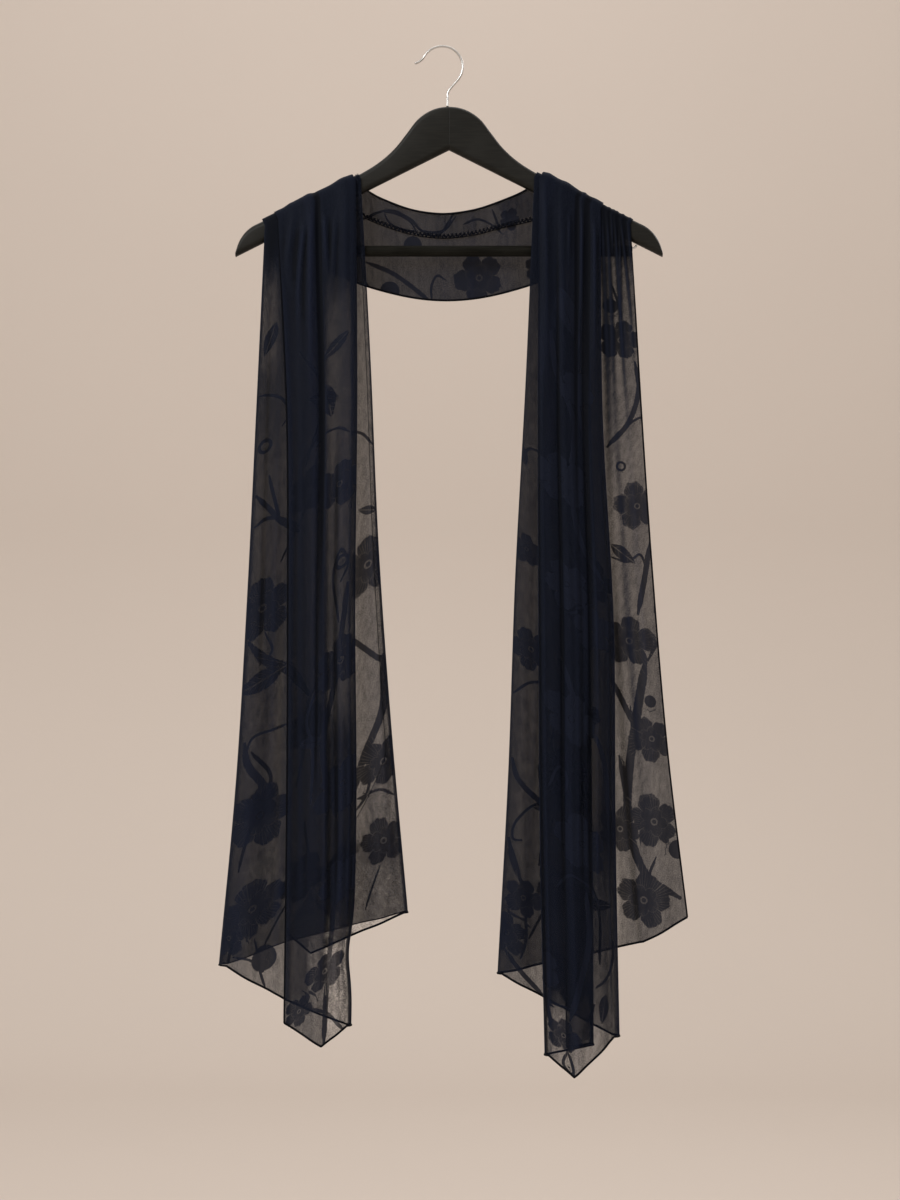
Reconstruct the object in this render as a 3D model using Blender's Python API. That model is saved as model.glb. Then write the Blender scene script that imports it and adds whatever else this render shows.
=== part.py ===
# A sheer woven scarf hung over a wooden clothes hanger. Metres, +Z up, +Y away from the viewer.
# The origin is the inside of the hook's bend, where the hanger hangs. Sizes below are in millimetres.
import math

import bmesh
import bpy
import numpy as np

MM = 0.001
GAP = 0.3

# Hanger
HANGER_CENTRE = 6.3
HANGER_THICKNESS = 12.0
ARM_TOP_RADIUS = 6.0
ARM_EDGE_RADIUS = 5.5
# The top of one arm: distance from the centre line, and height.
ARM_TOP = (
    # reach, height
    (0.0, -62.2),
    (17.8, -65.6),
    (33.4, -76.2),
    (43.4, -89.1),
    (55.4, -104.4),
    (69.5, -117.6),
    (91.4, -131.8),
    (196.0, -182.5),
    (207.6, -188.8),
    (215.6, -197.0),
    (220.4, -206.0),
    (222.8, -214.0),
)
NECK_OF_YOKE = 69.5
ARM_STRAIGHT_FROM = 91.4
ARM_STRAIGHT_TO = 196.0
ARM_UNDERSIDE_AT_CENTRE = -107.6
ARM_UNDERSIDE_SLOPE = -0.500
ARM_TIP_UNDERSIDE = -219.4

BAR_RADIUS = 5.75
BAR_HEIGHT = -212.8
BAR_LEFT_END = -181.5
BAR_RIGHT_END = 197.5
# A short wire at each end of the bar: how far out it reaches, where it leaves the bar, and its bend.
BAR_EYE_RADIUS = 1.1
BAR_EYE_REACH = 4.2
BAR_EYE_HEIGHT = -209.8
BAR_EYE_TURN = 5.0
BAR_EYE_STRAIGHT = 0.5

WIRE_RADIUS = 1.2
STEM_X = 4.7
STEM_TOP = -50.0
LOOP_CENTRE = (-1.0, -20.35)
LOOP_RADIUS = 21.55
LOOP_FROM = math.radians(-12.0)
LOOP_TO = math.radians(150.0)
HOOK_TIP = (-29.6, -16.6)

# Cloth
WALL = 1.0
FIRST_LAYER = 1.2
LAYER_STEP_AT_ARM = 1.45
LAYER_STEP_AT_HEM = 9.0
SWING_BACK_AT_HEM = 14.0
SEAM_BELOW_ARM_BACK = 6.0
# The hidden stretch is a strip of at least this width where the layers in front of it cover it.
NARROWEST_STRETCH = 6.0
TURN_POINTS = 4
WRAP_STEPS = 6
QUARTERS = (0.0, 0.25, 0.5, 0.75, 1.0)
# Rows of points down each drop, as parts of the way from the arm to the hem.
FALL_ROWS = (0.0, 0.015, 0.035, 0.06, 0.095, 0.14, 0.21, 0.31, 0.43, 0.56, 0.69, 0.81, 0.91, 1.0)

# Each drop is one width of cloth, laid to and fro. Its turns and free edges come in the order of the
# cloth, starting from the front: x at the arm, at each quarter of the fall and at the hem, and the
# height of the hem there.
LEFT_TURNS = (
    # name, arm, quarter, half, three_quarters, hem, hem_height
    ("front_edge", -172.0, -162.0, -161.0, -162.0, -164.5, -1018.0),
    ("front_turn", -90.5, -88.8, -90.9, -89.8, -95.0, -1022.0),
    ("outer_turn", -185.5, -194.3, -203.7, -215.7, -234.0, -957.5),
    ("inner_turn", -85.5, -75.2, -66.9, -53.6, -36.6, -903.6),
    ("hidden_edge", -91.0, -82.0, -75.0, -62.0, -163.0, -924.0),
)
# The stretches between the turns: which layer each is, counted outwards from the arm, how many
# columns of points it has, where its hem has a corner, and how far the corner hangs below the line
# between its two ends. "sink" is by how many layers its far end settles, past "sink_from".
LEFT_STRETCHES = (
    # name, layer, columns, corner, corner_drop, sink, sink_from_at_arm, sink_from_at_hem
    ("front_panel", 3, 12, 0.594, 24.1, 0.0, 0.0, 0.0),
    ("outer_wing_front", 2, 10, 0.504, 5.4, 0.0, 0.0, 0.0),
    ("back", 0, 12, 0.349, -5.2, 0.0, 0.0, 0.0),
    ("hidden", 1, 6, 0.793, 25.0, 0.0, 0.0, 0.0),
)
RIGHT_TURNS = (
    ("tuck_edge", 103.6, 117.0, 124.0, 127.0, 128.5, -1044.0),
    ("tuck_turn", 113.0, 143.0, 151.5, 155.0, 156.2, -1040.0),
    ("front_left_turn", 99.8, 98.2, 98.7, 100.3, 105.0, -1052.4),
    ("front_right_turn", 164.0, 166.1, 177.6, 179.7, 183.9, -1031.5),
    ("inner_turn", 95.0, 86.2, 75.2, 67.9, 56.9, -967.0),
    ("outer_edge", 195.3, 205.8, 218.3, 234.0, 255.9, -909.3),
)
RIGHT_STRETCHES = (
    ("tuck_back", 2, 3, 0.5, 0.0, 0.0, 0.0, 0.0),
    ("tuck_front", 3, 5, 0.5, 0.0, 0.0, 0.0, 0.0),
    ("front_panel", 4, 14, 0.377, 30.8, 1.6, 0.38, 0.72),
    ("inner_wing_front", 1, 10, 0.5, 0.0, 0.0, 0.0, 0.0),
    ("back", 0, 12, 0.76, 11.5, 0.0, 0.0, 0.0),
)
# Small pleats where the cloth is pushed together on the arm. They fade as the cloth falls.
LEFT_GATHERS = (
    # stretch, first, last, count, height, fade
    ("front_panel", 0.06, 0.94, 5, 2.2, 90.0),
)
RIGHT_GATHERS = (
    ("front_panel", 0.44, 0.98, 5, 2.6, 75.0),
    ("back", 0.71, 0.99, 4, 3.0, 110.0),
)
# Soft folds that run the length of a front panel, as heights at the arm, halfway and at the hem.
LEFT_FOLDS = (
    # stretch, place_at_arm, place_at_hem, half_width, at_arm, at_half, at_hem
    ("front_panel", 0.34, 0.50, 0.16, 1.5, 5.0, 3.0),
    ("front_panel", 0.86, 0.84, 0.10, 1.0, 3.0, 5.0),
)
RIGHT_FOLDS = (
    ("front_panel", 0.14, 0.16, 0.12, 1.5, 3.5, 4.0),
    ("front_panel", 0.42, 0.42, 0.10, 1.2, 3.5, 5.0),
    ("front_panel", 0.88, 0.86, 0.09, 0.5, 4.0, 3.0),
)
# Long waves that all the layers of a drop share, so that the layers never meet.
WAVES = (
    # x_at_arm, x_at_hem, half_width, height_at_hem
    (-183.0, -205.0, 17.0, 9.0),
    (-128.0, -128.0, 26.0, 7.0),
    (-80.0, -66.0, 13.0, 8.0),
    (92.0, 78.0, 13.0, 8.0),
    (140.0, 146.0, 24.0, 6.0),
    (185.0, 226.0, 16.0, 10.0),
)
WAVES_START = -240.0
WAVES_FULL = -880.0

# The stretch round the back of the neck, from its upper edge to its lower edge.
NECK_UPPER_MIDDLE = (0.0, -174.2)
NECK_LOWER_MIDDLE = (4.0, -263.8)
NECK_UPPER_SHAPE = 3.0
NECK_LOWER_SHAPE = 2.1
NECK_UPPER_BELLY = 7.0
NECK_LOWER_BELLY = 13.0
NECK_COLUMNS = 30
TURNED_EDGE_WIDTH = 0.29
TURNED_EDGE_FROM = 0.035
TURNED_EDGE_ROWS = 4
SINGLE_ROWS = 7
# Slanting folds of the neck stretch, each at a place along it.
NECK_FOLDS = (
    # place_at_upper_edge, place_at_lower_edge, half_width, height
    (0.10, 0.26, 0.05, 3.0),
    (0.30, 0.42, 0.07, 2.0),
    (0.70, 0.60, 0.07, 2.0),
    (0.92, 0.74, 0.05, 3.5),
)


def material(name, colour, roughness, metallic=0.0, alpha=1.0):
    made = bpy.data.materials.new(name)
    made.use_nodes = True
    shader = made.node_tree.nodes["Principled BSDF"]
    shader.inputs["Base Color"].default_value = (*colour, 1.0)
    shader.inputs["Roughness"].default_value = roughness
    shader.inputs["Metallic"].default_value = metallic
    shader.inputs["Alpha"].default_value = alpha
    return made


def add_object(name, points, faces, finish):
    mesh = bpy.data.meshes.new(name)
    mesh.from_pydata((np.asarray(points) * MM).tolist(), [], np.asarray(faces).tolist())
    shape = bmesh.new()
    shape.from_mesh(mesh)
    bmesh.ops.recalc_face_normals(shape, faces=shape.faces)
    shape.to_mesh(mesh)
    shape.free()
    mesh.materials.append(finish)
    mesh.shade_smooth()
    mesh.set_sharp_from_angle(angle=math.radians(40))
    made = bpy.data.objects.new(name, mesh)
    bpy.context.scene.collection.objects.link(made)
    return made


def smooth_step(t):
    t = np.clip(t, 0.0, 1.0)
    return t * t * (3.0 - 2.0 * t)


def bump(t):
    return np.exp(-t * t)


def curve_through(knots, values, at):
    """A cubic through the values, whose slope at each knot is the mean of its two neighbours' slopes."""
    knots = np.asarray(knots, float)
    values = np.asarray(values, float)
    steps = np.diff(values) / np.diff(knots)
    slopes = np.concatenate([steps[:1], (steps[1:] + steps[:-1]) / 2, steps[-1:]])
    place = np.clip(np.searchsorted(knots, at, side="right") - 1, 0, len(knots) - 2)
    width = knots[place + 1] - knots[place]
    t = (at - knots[place]) / width
    rise = t * t * (3 - 2 * t)
    start = (1 - rise) * values[place] + rise * values[place + 1]
    return start + width * t * (1 - t) * ((1 - t) * slopes[place] - t * slopes[place + 1])


# Hanger

def arm_slope():
    first = dict(ARM_TOP)[ARM_STRAIGHT_FROM]
    last = dict(ARM_TOP)[ARM_STRAIGHT_TO]
    return (last - first) / (ARM_STRAIGHT_TO - ARM_STRAIGHT_FROM)


def arm_top_height(reach):
    """The height of the straight part of the arm's top, where the cloth lies."""
    return dict(ARM_TOP)[ARM_STRAIGHT_FROM] + arm_slope() * (reach - ARM_STRAIGHT_FROM)


def yoke_profile():
    """The top and underside of one arm at stations along it: reach, top, underside."""
    reaches = np.array([row[0] for row in ARM_TOP])
    heights = np.array([row[1] for row in ARM_TOP])
    hump = np.linspace(0.0, NECK_OF_YOKE, 11)
    straight = np.linspace(ARM_STRAIGHT_FROM, ARM_STRAIGHT_TO, 5)
    tip = ARM_STRAIGHT_TO + (reaches[-1] - ARM_STRAIGHT_TO) * np.array([0.25, 0.45, 0.62, 0.77, 0.89, 1.0])
    stations = np.concatenate([hump, straight, tip])
    mirrored = np.concatenate([-reaches[:0:-1], reaches])
    top = curve_through(mirrored, np.concatenate([heights[:0:-1], heights]), stations)
    flat = (stations >= ARM_STRAIGHT_FROM) & (stations <= ARM_STRAIGHT_TO)
    top[flat] = arm_top_height(stations[flat])
    under = ARM_UNDERSIDE_AT_CENTRE + ARM_UNDERSIDE_SLOPE * stations
    under = np.maximum(under, ARM_TIP_UNDERSIDE + 0.9 * (stations - reaches[-1]))
    return stations, top, under


def yoke_ring(x, top, under):
    """A rounded upright section across the arm."""
    tilt = math.atan(arm_slope())
    side = min(ARM_EDGE_RADIUS, HANGER_THICKNESS / 2 - 0.5)
    upright = min(ARM_EDGE_RADIUS / math.cos(tilt), (top - under) * 0.48)
    ring = []
    corners = ((1, 1, 0), (-1, 1, 90), (-1, -1, 180), (1, -1, 270))
    for side_y, side_z, first in corners:
        middle_y = side_y * (HANGER_THICKNESS / 2 - side)
        middle_z = (top - upright) if side_z > 0 else (under + upright)
        for step in range(4):
            angle = math.radians(first + 30 * step)
            ring.append((x, middle_y + side * math.cos(angle), middle_z + upright * math.sin(angle)))
    return ring


def loft(name, rings, finish):
    """Joins closed rings of equal length, and fills the first and the last."""
    count = len(rings[0])
    points = [point for ring in rings for point in ring]
    faces = []
    for row in range(len(rings) - 1):
        for column in range(count):
            following = (column + 1) % count
            a = row * count + column
            b = row * count + following
            faces.append((a, b, b + count))
            faces.append((a, b + count, a + count))
    shape = bmesh.new()
    made = [shape.verts.new(point) for point in points]
    for face in faces:
        shape.faces.new([made[index] for index in face])
    shape.faces.new(made[:count])
    shape.faces.new(made[-count:])
    bmesh.ops.triangulate(shape, faces=[face for face in shape.faces if len(face.verts) > 4])
    shape.verts.index_update()
    corners = [tuple(vert.co) for vert in shape.verts]
    triangles = [[vert.index for vert in face.verts] for face in shape.faces]
    shape.free()
    return add_object(name, corners, triangles, finish)


def make_yoke(finish):
    stations, top, under = yoke_profile()
    rings = []
    for reach, high, low in zip(stations[:0:-1], top[:0:-1], under[:0:-1]):
        rings.append(yoke_ring(HANGER_CENTRE - reach, high, low))
    for reach, high, low in zip(stations, top, under):
        rings.append(yoke_ring(HANGER_CENTRE + reach, high, low))
    return loft("hanger_yoke", rings, finish)


def sweep(name, path, radius, sides, finish):
    """A round wire along a path in the XZ plane."""
    path = np.asarray(path, float)
    along = np.gradient(path, axis=0)
    along /= np.linalg.norm(along, axis=1)[:, None]
    rings = []
    for (x, z), (run, rise) in zip(path, along):
        ring = []
        for side in range(sides):
            angle = 2 * math.pi * side / sides
            out = radius * math.cos(angle)
            ring.append((x - rise * out, radius * math.sin(angle), z + run * out))
        rings.append(ring)
    return loft(name, rings, finish)


def bend(start, start_way, end, end_way, steps):
    """A cubic bend between two points, leaving and arriving along the two directions."""
    t = np.linspace(0.0, 1.0, steps + 1)[:, None]
    start, end = np.array(start), np.array(end)
    first = start + np.array(start_way) / 3
    last = end - np.array(end_way) / 3
    return (1 - t) ** 3 * start + 3 * (1 - t) ** 2 * t * first + 3 * (1 - t) * t * t * last + t ** 3 * end


def make_hook(finish):
    centre = np.array(LOOP_CENTRE)
    loop_start = centre + LOOP_RADIUS * np.array((math.cos(LOOP_FROM), math.sin(LOOP_FROM)))
    loop_end = centre + LOOP_RADIUS * np.array((math.cos(LOOP_TO), math.sin(LOOP_TO)))
    angles = np.linspace(LOOP_FROM, LOOP_TO, 15)
    loop = centre + LOOP_RADIUS * np.stack([np.cos(angles), np.sin(angles)], axis=1)
    start_way = (-35 * math.sin(LOOP_FROM), 35 * math.cos(LOOP_FROM))
    end_way = (-9 * math.sin(LOOP_TO), 9 * math.cos(LOOP_TO))
    stem = bend((STEM_X, STEM_TOP), (0.0, 24.0), loop_start, start_way, 7)
    tip = bend(loop_end, end_way, HOOK_TIP, (-14.0, -1.0), 4)
    foot = np.array([(STEM_X, dict(ARM_TOP)[0.0] + GAP)])
    path = np.concatenate([foot, stem, loop[1:], tip[1:]])
    return sweep("hanger_hook", path, WIRE_RADIUS, 10, finish)


def make_bar(finish):
    ends = np.array([(BAR_LEFT_END, BAR_HEIGHT), (BAR_RIGHT_END, BAR_HEIGHT)])
    return sweep("hanger_bar", ends, BAR_RADIUS, 20, finish)


def make_bar_eye(name, bar_end, side, finish):
    """A short wire that leaves the bar's end and turns up into the arm's underside."""
    x = bar_end + side * BAR_EYE_REACH
    under = ARM_UNDERSIDE_AT_CENTRE + ARM_UNDERSIDE_SLOPE * abs(x - HANGER_CENTRE)
    top = under - GAP + ARM_UNDERSIDE_SLOPE * BAR_EYE_RADIUS
    foot = (bar_end + side * GAP, BAR_EYE_HEIGHT)
    turn_from = (foot[0] + side * BAR_EYE_STRAIGHT, BAR_EYE_HEIGHT)
    turn_to = (x, top - BAR_EYE_STRAIGHT)
    turn = bend(turn_from, (side * BAR_EYE_TURN, 0.0), turn_to, (0.0, BAR_EYE_TURN), 6)
    return sweep(name, np.concatenate([[foot], turn, [(x, top)]]), BAR_EYE_RADIUS, 10, finish)


# Cloth

def wall(name, middle, finish):
    """A closed wall around a grid of points: half its thickness on each side, and its four edges."""
    rows, columns = middle.shape[:2]
    down = np.gradient(middle, axis=0)
    across = np.gradient(middle, axis=1)
    out = np.cross(across, down)
    out /= np.linalg.norm(out, axis=2)[:, :, None]
    points = np.concatenate([(middle + out * WALL / 2).reshape(-1, 3), (middle - out * WALL / 2).reshape(-1, 3)])
    grid = np.arange(rows * columns).reshape(rows, columns)
    a, b = grid[:-1, :-1].ravel(), grid[:-1, 1:].ravel()
    c, d = grid[1:, 1:].ravel(), grid[1:, :-1].ravel()
    other = rows * columns
    front = np.concatenate([np.stack([a, b, c], 1), np.stack([a, c, d], 1)])
    back = front[:, ::-1] + other
    border = np.concatenate([grid[0, :-1], grid[:-1, -1], grid[-1, :0:-1], grid[:0:-1, 0]])
    following = np.roll(border, -1)
    edge = np.concatenate([
        np.stack([following, border, border + other], 1),
        np.stack([following, border + other, following + other], 1),
    ])
    return add_object(name, points, np.concatenate([front, back, edge]), finish)


def wave(x, z):
    """How far the long waves push the cloth forwards at a place seen from the front."""
    way = np.clip((WAVES_START - z) / (WAVES_START - WAVES_FULL), 0.0, 1.0)
    pushed = np.zeros_like(x)
    for x_at_arm, x_at_hem, half_width, height in WAVES:
        middle = x_at_arm + (x_at_hem - x_at_arm) * way
        pushed += height * smooth_step(way) * bump((x - middle) / half_width)
    return pushed


def layer_at(stretch, share, fall):
    """Which layer a stretch is at, along it and down it. Its far end may settle into a lower one."""
    name, layer, columns, corner, corner_drop, sink, sink_arm, sink_hem = stretch
    start = sink_arm + (sink_hem - sink_arm) * fall
    return layer - sink * smooth_step((share - start) / (1.001 - start))


def shares_of(stretch, gathers):
    """Places of a stretch's columns: evenly apart, with one at the hem's corner and three for each gather."""
    corner, columns = stretch[3], stretch[2]
    before = max(2, round(columns * corner))
    after = max(2, columns - before)
    shares = np.concatenate([np.linspace(0.0, corner, before), np.linspace(corner, 1.0, after + 1)[1:]])
    for name, start, end, count, height, fade in gathers:
        if name == stretch[0]:
            outside = shares[(shares < start - 0.01) | (shares > end + 0.01)]
            pleats = np.linspace(start, end, 3 * count + 1)
            shares = np.concatenate([outside, pleats, [0.0, corner, 1.0]])
    shares = np.unique(shares)
    close = np.append(np.diff(shares) > 0.004, True)
    return shares[close | (shares == corner)]


def drop_sections(turns, stretches, gathers, folds):
    """The folded width of a drop, from the arm to the hem: x, depth in front of the arm, and hem."""
    fall = np.array(FALL_ROWS)[:, None]
    step = LAYER_STEP_AT_ARM + (LAYER_STEP_AT_HEM - LAYER_STEP_AT_ARM) * fall ** 0.7
    places = [curve_through(QUARTERS, turn[1:6], fall) for turn in turns]
    hems = [turn[6] for turn in turns]
    ends = np.array([0.0, 1.0])
    levels = [layer_at(stretch, ends, fall) for stretch in stretches]
    radii = [0.0 * fall]
    for before, after in zip(levels[:-1], levels[1:]):
        radii.append(np.abs(before[:, 1:] - after[:, :1]) * step / 2)
    radii.append(0.0 * fall)
    outward = [0.0]
    for number in range(1, len(turns) - 1):
        outward.append(1.0 if turns[number][5] > turns[number - 1][5] else -1.0)
    outward.append(0.0)
    x_parts, depth_parts, hem_parts = [], [], []
    for number, stretch in enumerate(stretches):
        share = shares_of(stretch, gathers)
        first = places[number] - outward[number] * radii[number]
        last = places[number + 1] - outward[number + 1] * radii[number + 1]
        direction = 1.0 if turns[number + 1][5] > turns[number][5] else -1.0
        last = first + direction * np.maximum(direction * (last - first), NARROWEST_STRETCH)
        depth = layer_at(stretch, share, fall) * step
        distance = fall * 800.0
        for name, start, end, count, height, fade in gathers:
            if name == stretch[0]:
                phase = np.clip((share - start) / (end - start), 0.0, 1.0)
                rise = 0.55 + 0.45 * smooth_step(distance / 25.0)
                depth = depth + height * rise * bump(distance / fade) * np.sin(math.pi * count * phase) ** 2
        for name, at_arm, at_hem, half_width, low, middle, high in folds:
            if name == stretch[0]:
                height = curve_through((0.0, 0.5, 1.0), (low, middle, high), fall)
                place = at_arm + (at_hem - at_arm) * fall
                depth = depth + height * bump((share - place) / half_width)
        corner, corner_drop = stretch[3], stretch[4]
        width = np.abs(last - first)
        dip = corner_drop * np.minimum(share / corner, (1 - share) / (1 - corner)) * width / width[-1]
        x_parts.append(first + (last - first) * share)
        depth_parts.append(depth)
        hem_parts.append(hems[number] + (hems[number + 1] - hems[number]) * share - dip)
        if number + 1 < len(stretches):
            angle = math.pi * np.arange(1, TURN_POINTS) / TURN_POINTS
            centre = places[number + 1] - outward[number + 1] * radii[number + 1]
            into, out_of = levels[number][:, 1:] * step, levels[number + 1][:, :1] * step
            x_parts.append(centre + outward[number + 1] * radii[number + 1] * np.sin(angle))
            depth_parts.append((into + out_of) / 2 + (into - out_of) / 2 * np.cos(angle))
            hem_parts.append(np.full((len(fall), TURN_POINTS - 1), hems[number + 1]))
    return np.concatenate(x_parts, 1), np.concatenate(depth_parts, 1), np.concatenate(hem_parts, 1)


def arm_axis(x, side):
    """The height of the line that the cloth bends round, for cloth that leaves the arm's front at x."""
    tilt = math.atan(-arm_slope())
    reach = side * (x - HANGER_CENTRE) + ARM_TOP_RADIUS * math.sin(tilt)
    return arm_top_height(reach) - ARM_TOP_RADIUS * math.cos(tilt)


def drop_middle(turns, stretches, gathers, folds, side):
    """The middle of a drop's wall: up the back of the arm, over it, and down to the hem."""
    x, depth, hem = drop_sections(turns, stretches, gathers, folds)
    fall = np.array(FALL_ROWS)[:, None]
    start = arm_axis(x[0], side)
    z = start + (hem - start) * fall
    swing = SWING_BACK_AT_HEM * smooth_step((fall - 0.12) / 0.88)
    y = -(ARM_TOP_RADIUS + FIRST_LAYER + depth + wave(x, z) - swing)
    front = np.stack([x, y, z], axis=2)
    tilt = math.atan(-arm_slope())
    out = ARM_TOP_RADIUS + FIRST_LAYER + depth[:1]
    angle = np.radians(np.linspace(-90.0, 90.0, WRAP_STEPS + 1))[:-1, None]
    over = np.stack([
        x[:1] + side * math.sin(tilt) * np.cos(angle) * out,
        -np.sin(angle) * out,
        start + math.cos(tilt) * np.cos(angle) * out,
    ], axis=2)
    seam = over[:1] - np.array([0.0, 0.0, SEAM_BELOW_ARM_BACK])
    return np.concatenate([seam, over, front])


def neck_middle(along, across):
    """The middle of the neck stretch's wall, for places along it and places down across it."""
    along, across = np.meshgrid(along, across)
    tilt = math.atan(-arm_slope())
    ends = []
    for side, upper, lower in ((-1, LEFT_TURNS[3][1], LEFT_TURNS[2][1]), (1, RIGHT_TURNS[4][1], RIGHT_TURNS[5][1])):
        x = upper + (lower - upper) * across
        ends.append((x, arm_axis(x, side) - SEAM_BELOW_ARM_BACK - GAP))
    (left_x, left_z), (right_x, right_z) = ends
    middle_x = NECK_UPPER_MIDDLE[0] + (NECK_LOWER_MIDDLE[0] - NECK_UPPER_MIDDLE[0]) * across
    middle_z = NECK_UPPER_MIDDLE[1] + (NECK_LOWER_MIDDLE[1] - NECK_UPPER_MIDDLE[1]) * across
    shape = NECK_UPPER_SHAPE + (NECK_LOWER_SHAPE - NECK_UPPER_SHAPE) * across
    from_middle = 2 * along - 1
    straight_x = left_x + (right_x - left_x) * along
    x = straight_x + (middle_x - (left_x + right_x) / 2) * (1 - from_middle ** 2)
    end_z = np.where(from_middle < 0, left_z, right_z)
    z = end_z + (middle_z - end_z) * (1 - np.abs(from_middle) ** shape)
    belly = NECK_UPPER_BELLY + (NECK_LOWER_BELLY - NECK_UPPER_BELLY) * across
    y = ARM_TOP_RADIUS + FIRST_LAYER + belly * (1 - from_middle ** 4)
    for at_upper, at_lower, half_width, height in NECK_FOLDS:
        place = at_upper + (at_lower - at_upper) * across
        y = y + height * bump((along - place) / half_width) * (1 - from_middle ** 8)
    return np.stack([x, y, z], axis=2)


def make_neck(finish):
    along = (1 - np.cos(math.pi * np.linspace(0.0, 1.0, NECK_COLUMNS))) / 2
    along = 0.5 * along + 0.5 * np.linspace(0.0, 1.0, NECK_COLUMNS)
    turned_across = np.linspace(0.0, TURNED_EDGE_WIDTH, TURNED_EDGE_ROWS)
    single_across = np.linspace(TURNED_EDGE_WIDTH, 1.0, SINGLE_ROWS)
    wall("scarf_neck_stretch", neck_middle(along, np.concatenate([turned_across, single_across[1:]])), finish)
    strip = along[(along > TURNED_EDGE_FROM) & (along < 1 - TURNED_EDGE_FROM)]
    turned = neck_middle(strip, turned_across)
    down = np.gradient(turned, axis=0)
    sideways = np.gradient(turned, axis=1)
    out = np.cross(sideways, down)
    out /= np.linalg.norm(out, axis=2)[:, :, None]
    towards_viewer = np.where(out[:, :, 1:2] > 0, -1.0, 1.0)
    wall("scarf_neck_turned_edge", turned + out * towards_viewer * (WALL + GAP), finish)


for old in list(bpy.data.objects):
    bpy.data.objects.remove(old, do_unlink=True)

cloth = material("navy_sheer_cloth", (0.020, 0.023, 0.040), 0.75, alpha=0.75)
wood = material("black_lacquered_wood", (0.020, 0.019, 0.016), 0.42)
steel = material("bright_steel_wire", (0.62, 0.61, 0.60), 0.22, metallic=1.0)

make_yoke(wood)
make_bar(wood)
make_bar_eye("hanger_bar_eye_left", BAR_LEFT_END, -1, steel)
make_bar_eye("hanger_bar_eye_right", BAR_RIGHT_END, 1, steel)
make_hook(steel)
wall("scarf_left_drop", drop_middle(LEFT_TURNS, LEFT_STRETCHES, LEFT_GATHERS, LEFT_FOLDS, -1), cloth)
wall("scarf_right_drop", drop_middle(RIGHT_TURNS, RIGHT_STRETCHES, RIGHT_GATHERS, RIGHT_FOLDS, 1), cloth)
make_neck(cloth)
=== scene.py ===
import math

import bpy
import numpy as np
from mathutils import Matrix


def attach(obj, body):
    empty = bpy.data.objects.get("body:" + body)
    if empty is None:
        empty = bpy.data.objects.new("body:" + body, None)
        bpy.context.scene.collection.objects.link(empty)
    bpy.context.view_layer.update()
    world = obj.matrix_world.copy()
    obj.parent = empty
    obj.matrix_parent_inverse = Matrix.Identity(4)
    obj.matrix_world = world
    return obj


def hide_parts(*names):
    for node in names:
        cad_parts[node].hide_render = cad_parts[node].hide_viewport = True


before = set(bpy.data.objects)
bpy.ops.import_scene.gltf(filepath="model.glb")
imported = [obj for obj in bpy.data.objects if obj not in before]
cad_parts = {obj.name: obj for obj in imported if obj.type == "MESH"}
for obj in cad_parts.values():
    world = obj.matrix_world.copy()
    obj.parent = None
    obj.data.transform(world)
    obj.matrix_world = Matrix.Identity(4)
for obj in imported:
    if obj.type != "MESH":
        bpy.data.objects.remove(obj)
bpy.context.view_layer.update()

# A sheer scarf hung over a wooden hanger. Sizes are in millimetres in the model's own frame:
# the origin is the inside of the hook's bend, +Z up, +Y away from the camera.
mm = 0.001


# Shared shapes and helpers, in plain numbers

def smoothStep(t):  # 0 below 0, 1 above 1, an S between
    t = np.clip(t, 0.0, 1.0)
    return t * t * (3.0 - 2.0 * t)


def bump(t):  # a soft hill, 1 at 0 and nearly 0 at 2
    return np.exp(-t * t)


def curveThrough(knots, values, at):
    # cubic through the values; the slope at a knot is the mean of the slopes on its two sides
    knots, values = np.asarray(knots, float), np.asarray(values, float)
    steps = np.diff(values) / np.diff(knots)
    slopes = np.concatenate([steps[:1], (steps[1:] + steps[:-1]) / 2, steps[-1:]])
    place = np.clip(np.searchsorted(knots, at, side="right") - 1, 0, len(knots) - 2)
    width = knots[place + 1] - knots[place]
    t = (at - knots[place]) / width
    rise = t * t * (3 - 2 * t)
    middle = (1 - rise) * values[place] + rise * values[place + 1]
    return middle + width * t * (1 - t) * ((1 - t) * slopes[place] - t * slopes[place + 1])


def unit(vectors):  # each vector over its own length
    return vectors / np.maximum(np.linalg.norm(vectors, axis=-1, keepdims=True), 1e-9)


def alongLength(points):  # running length along a line of points, from 0
    steps = np.linalg.norm(np.diff(points, axis=0), axis=1)
    return np.concatenate([[0.0], np.cumsum(steps)])


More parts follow.
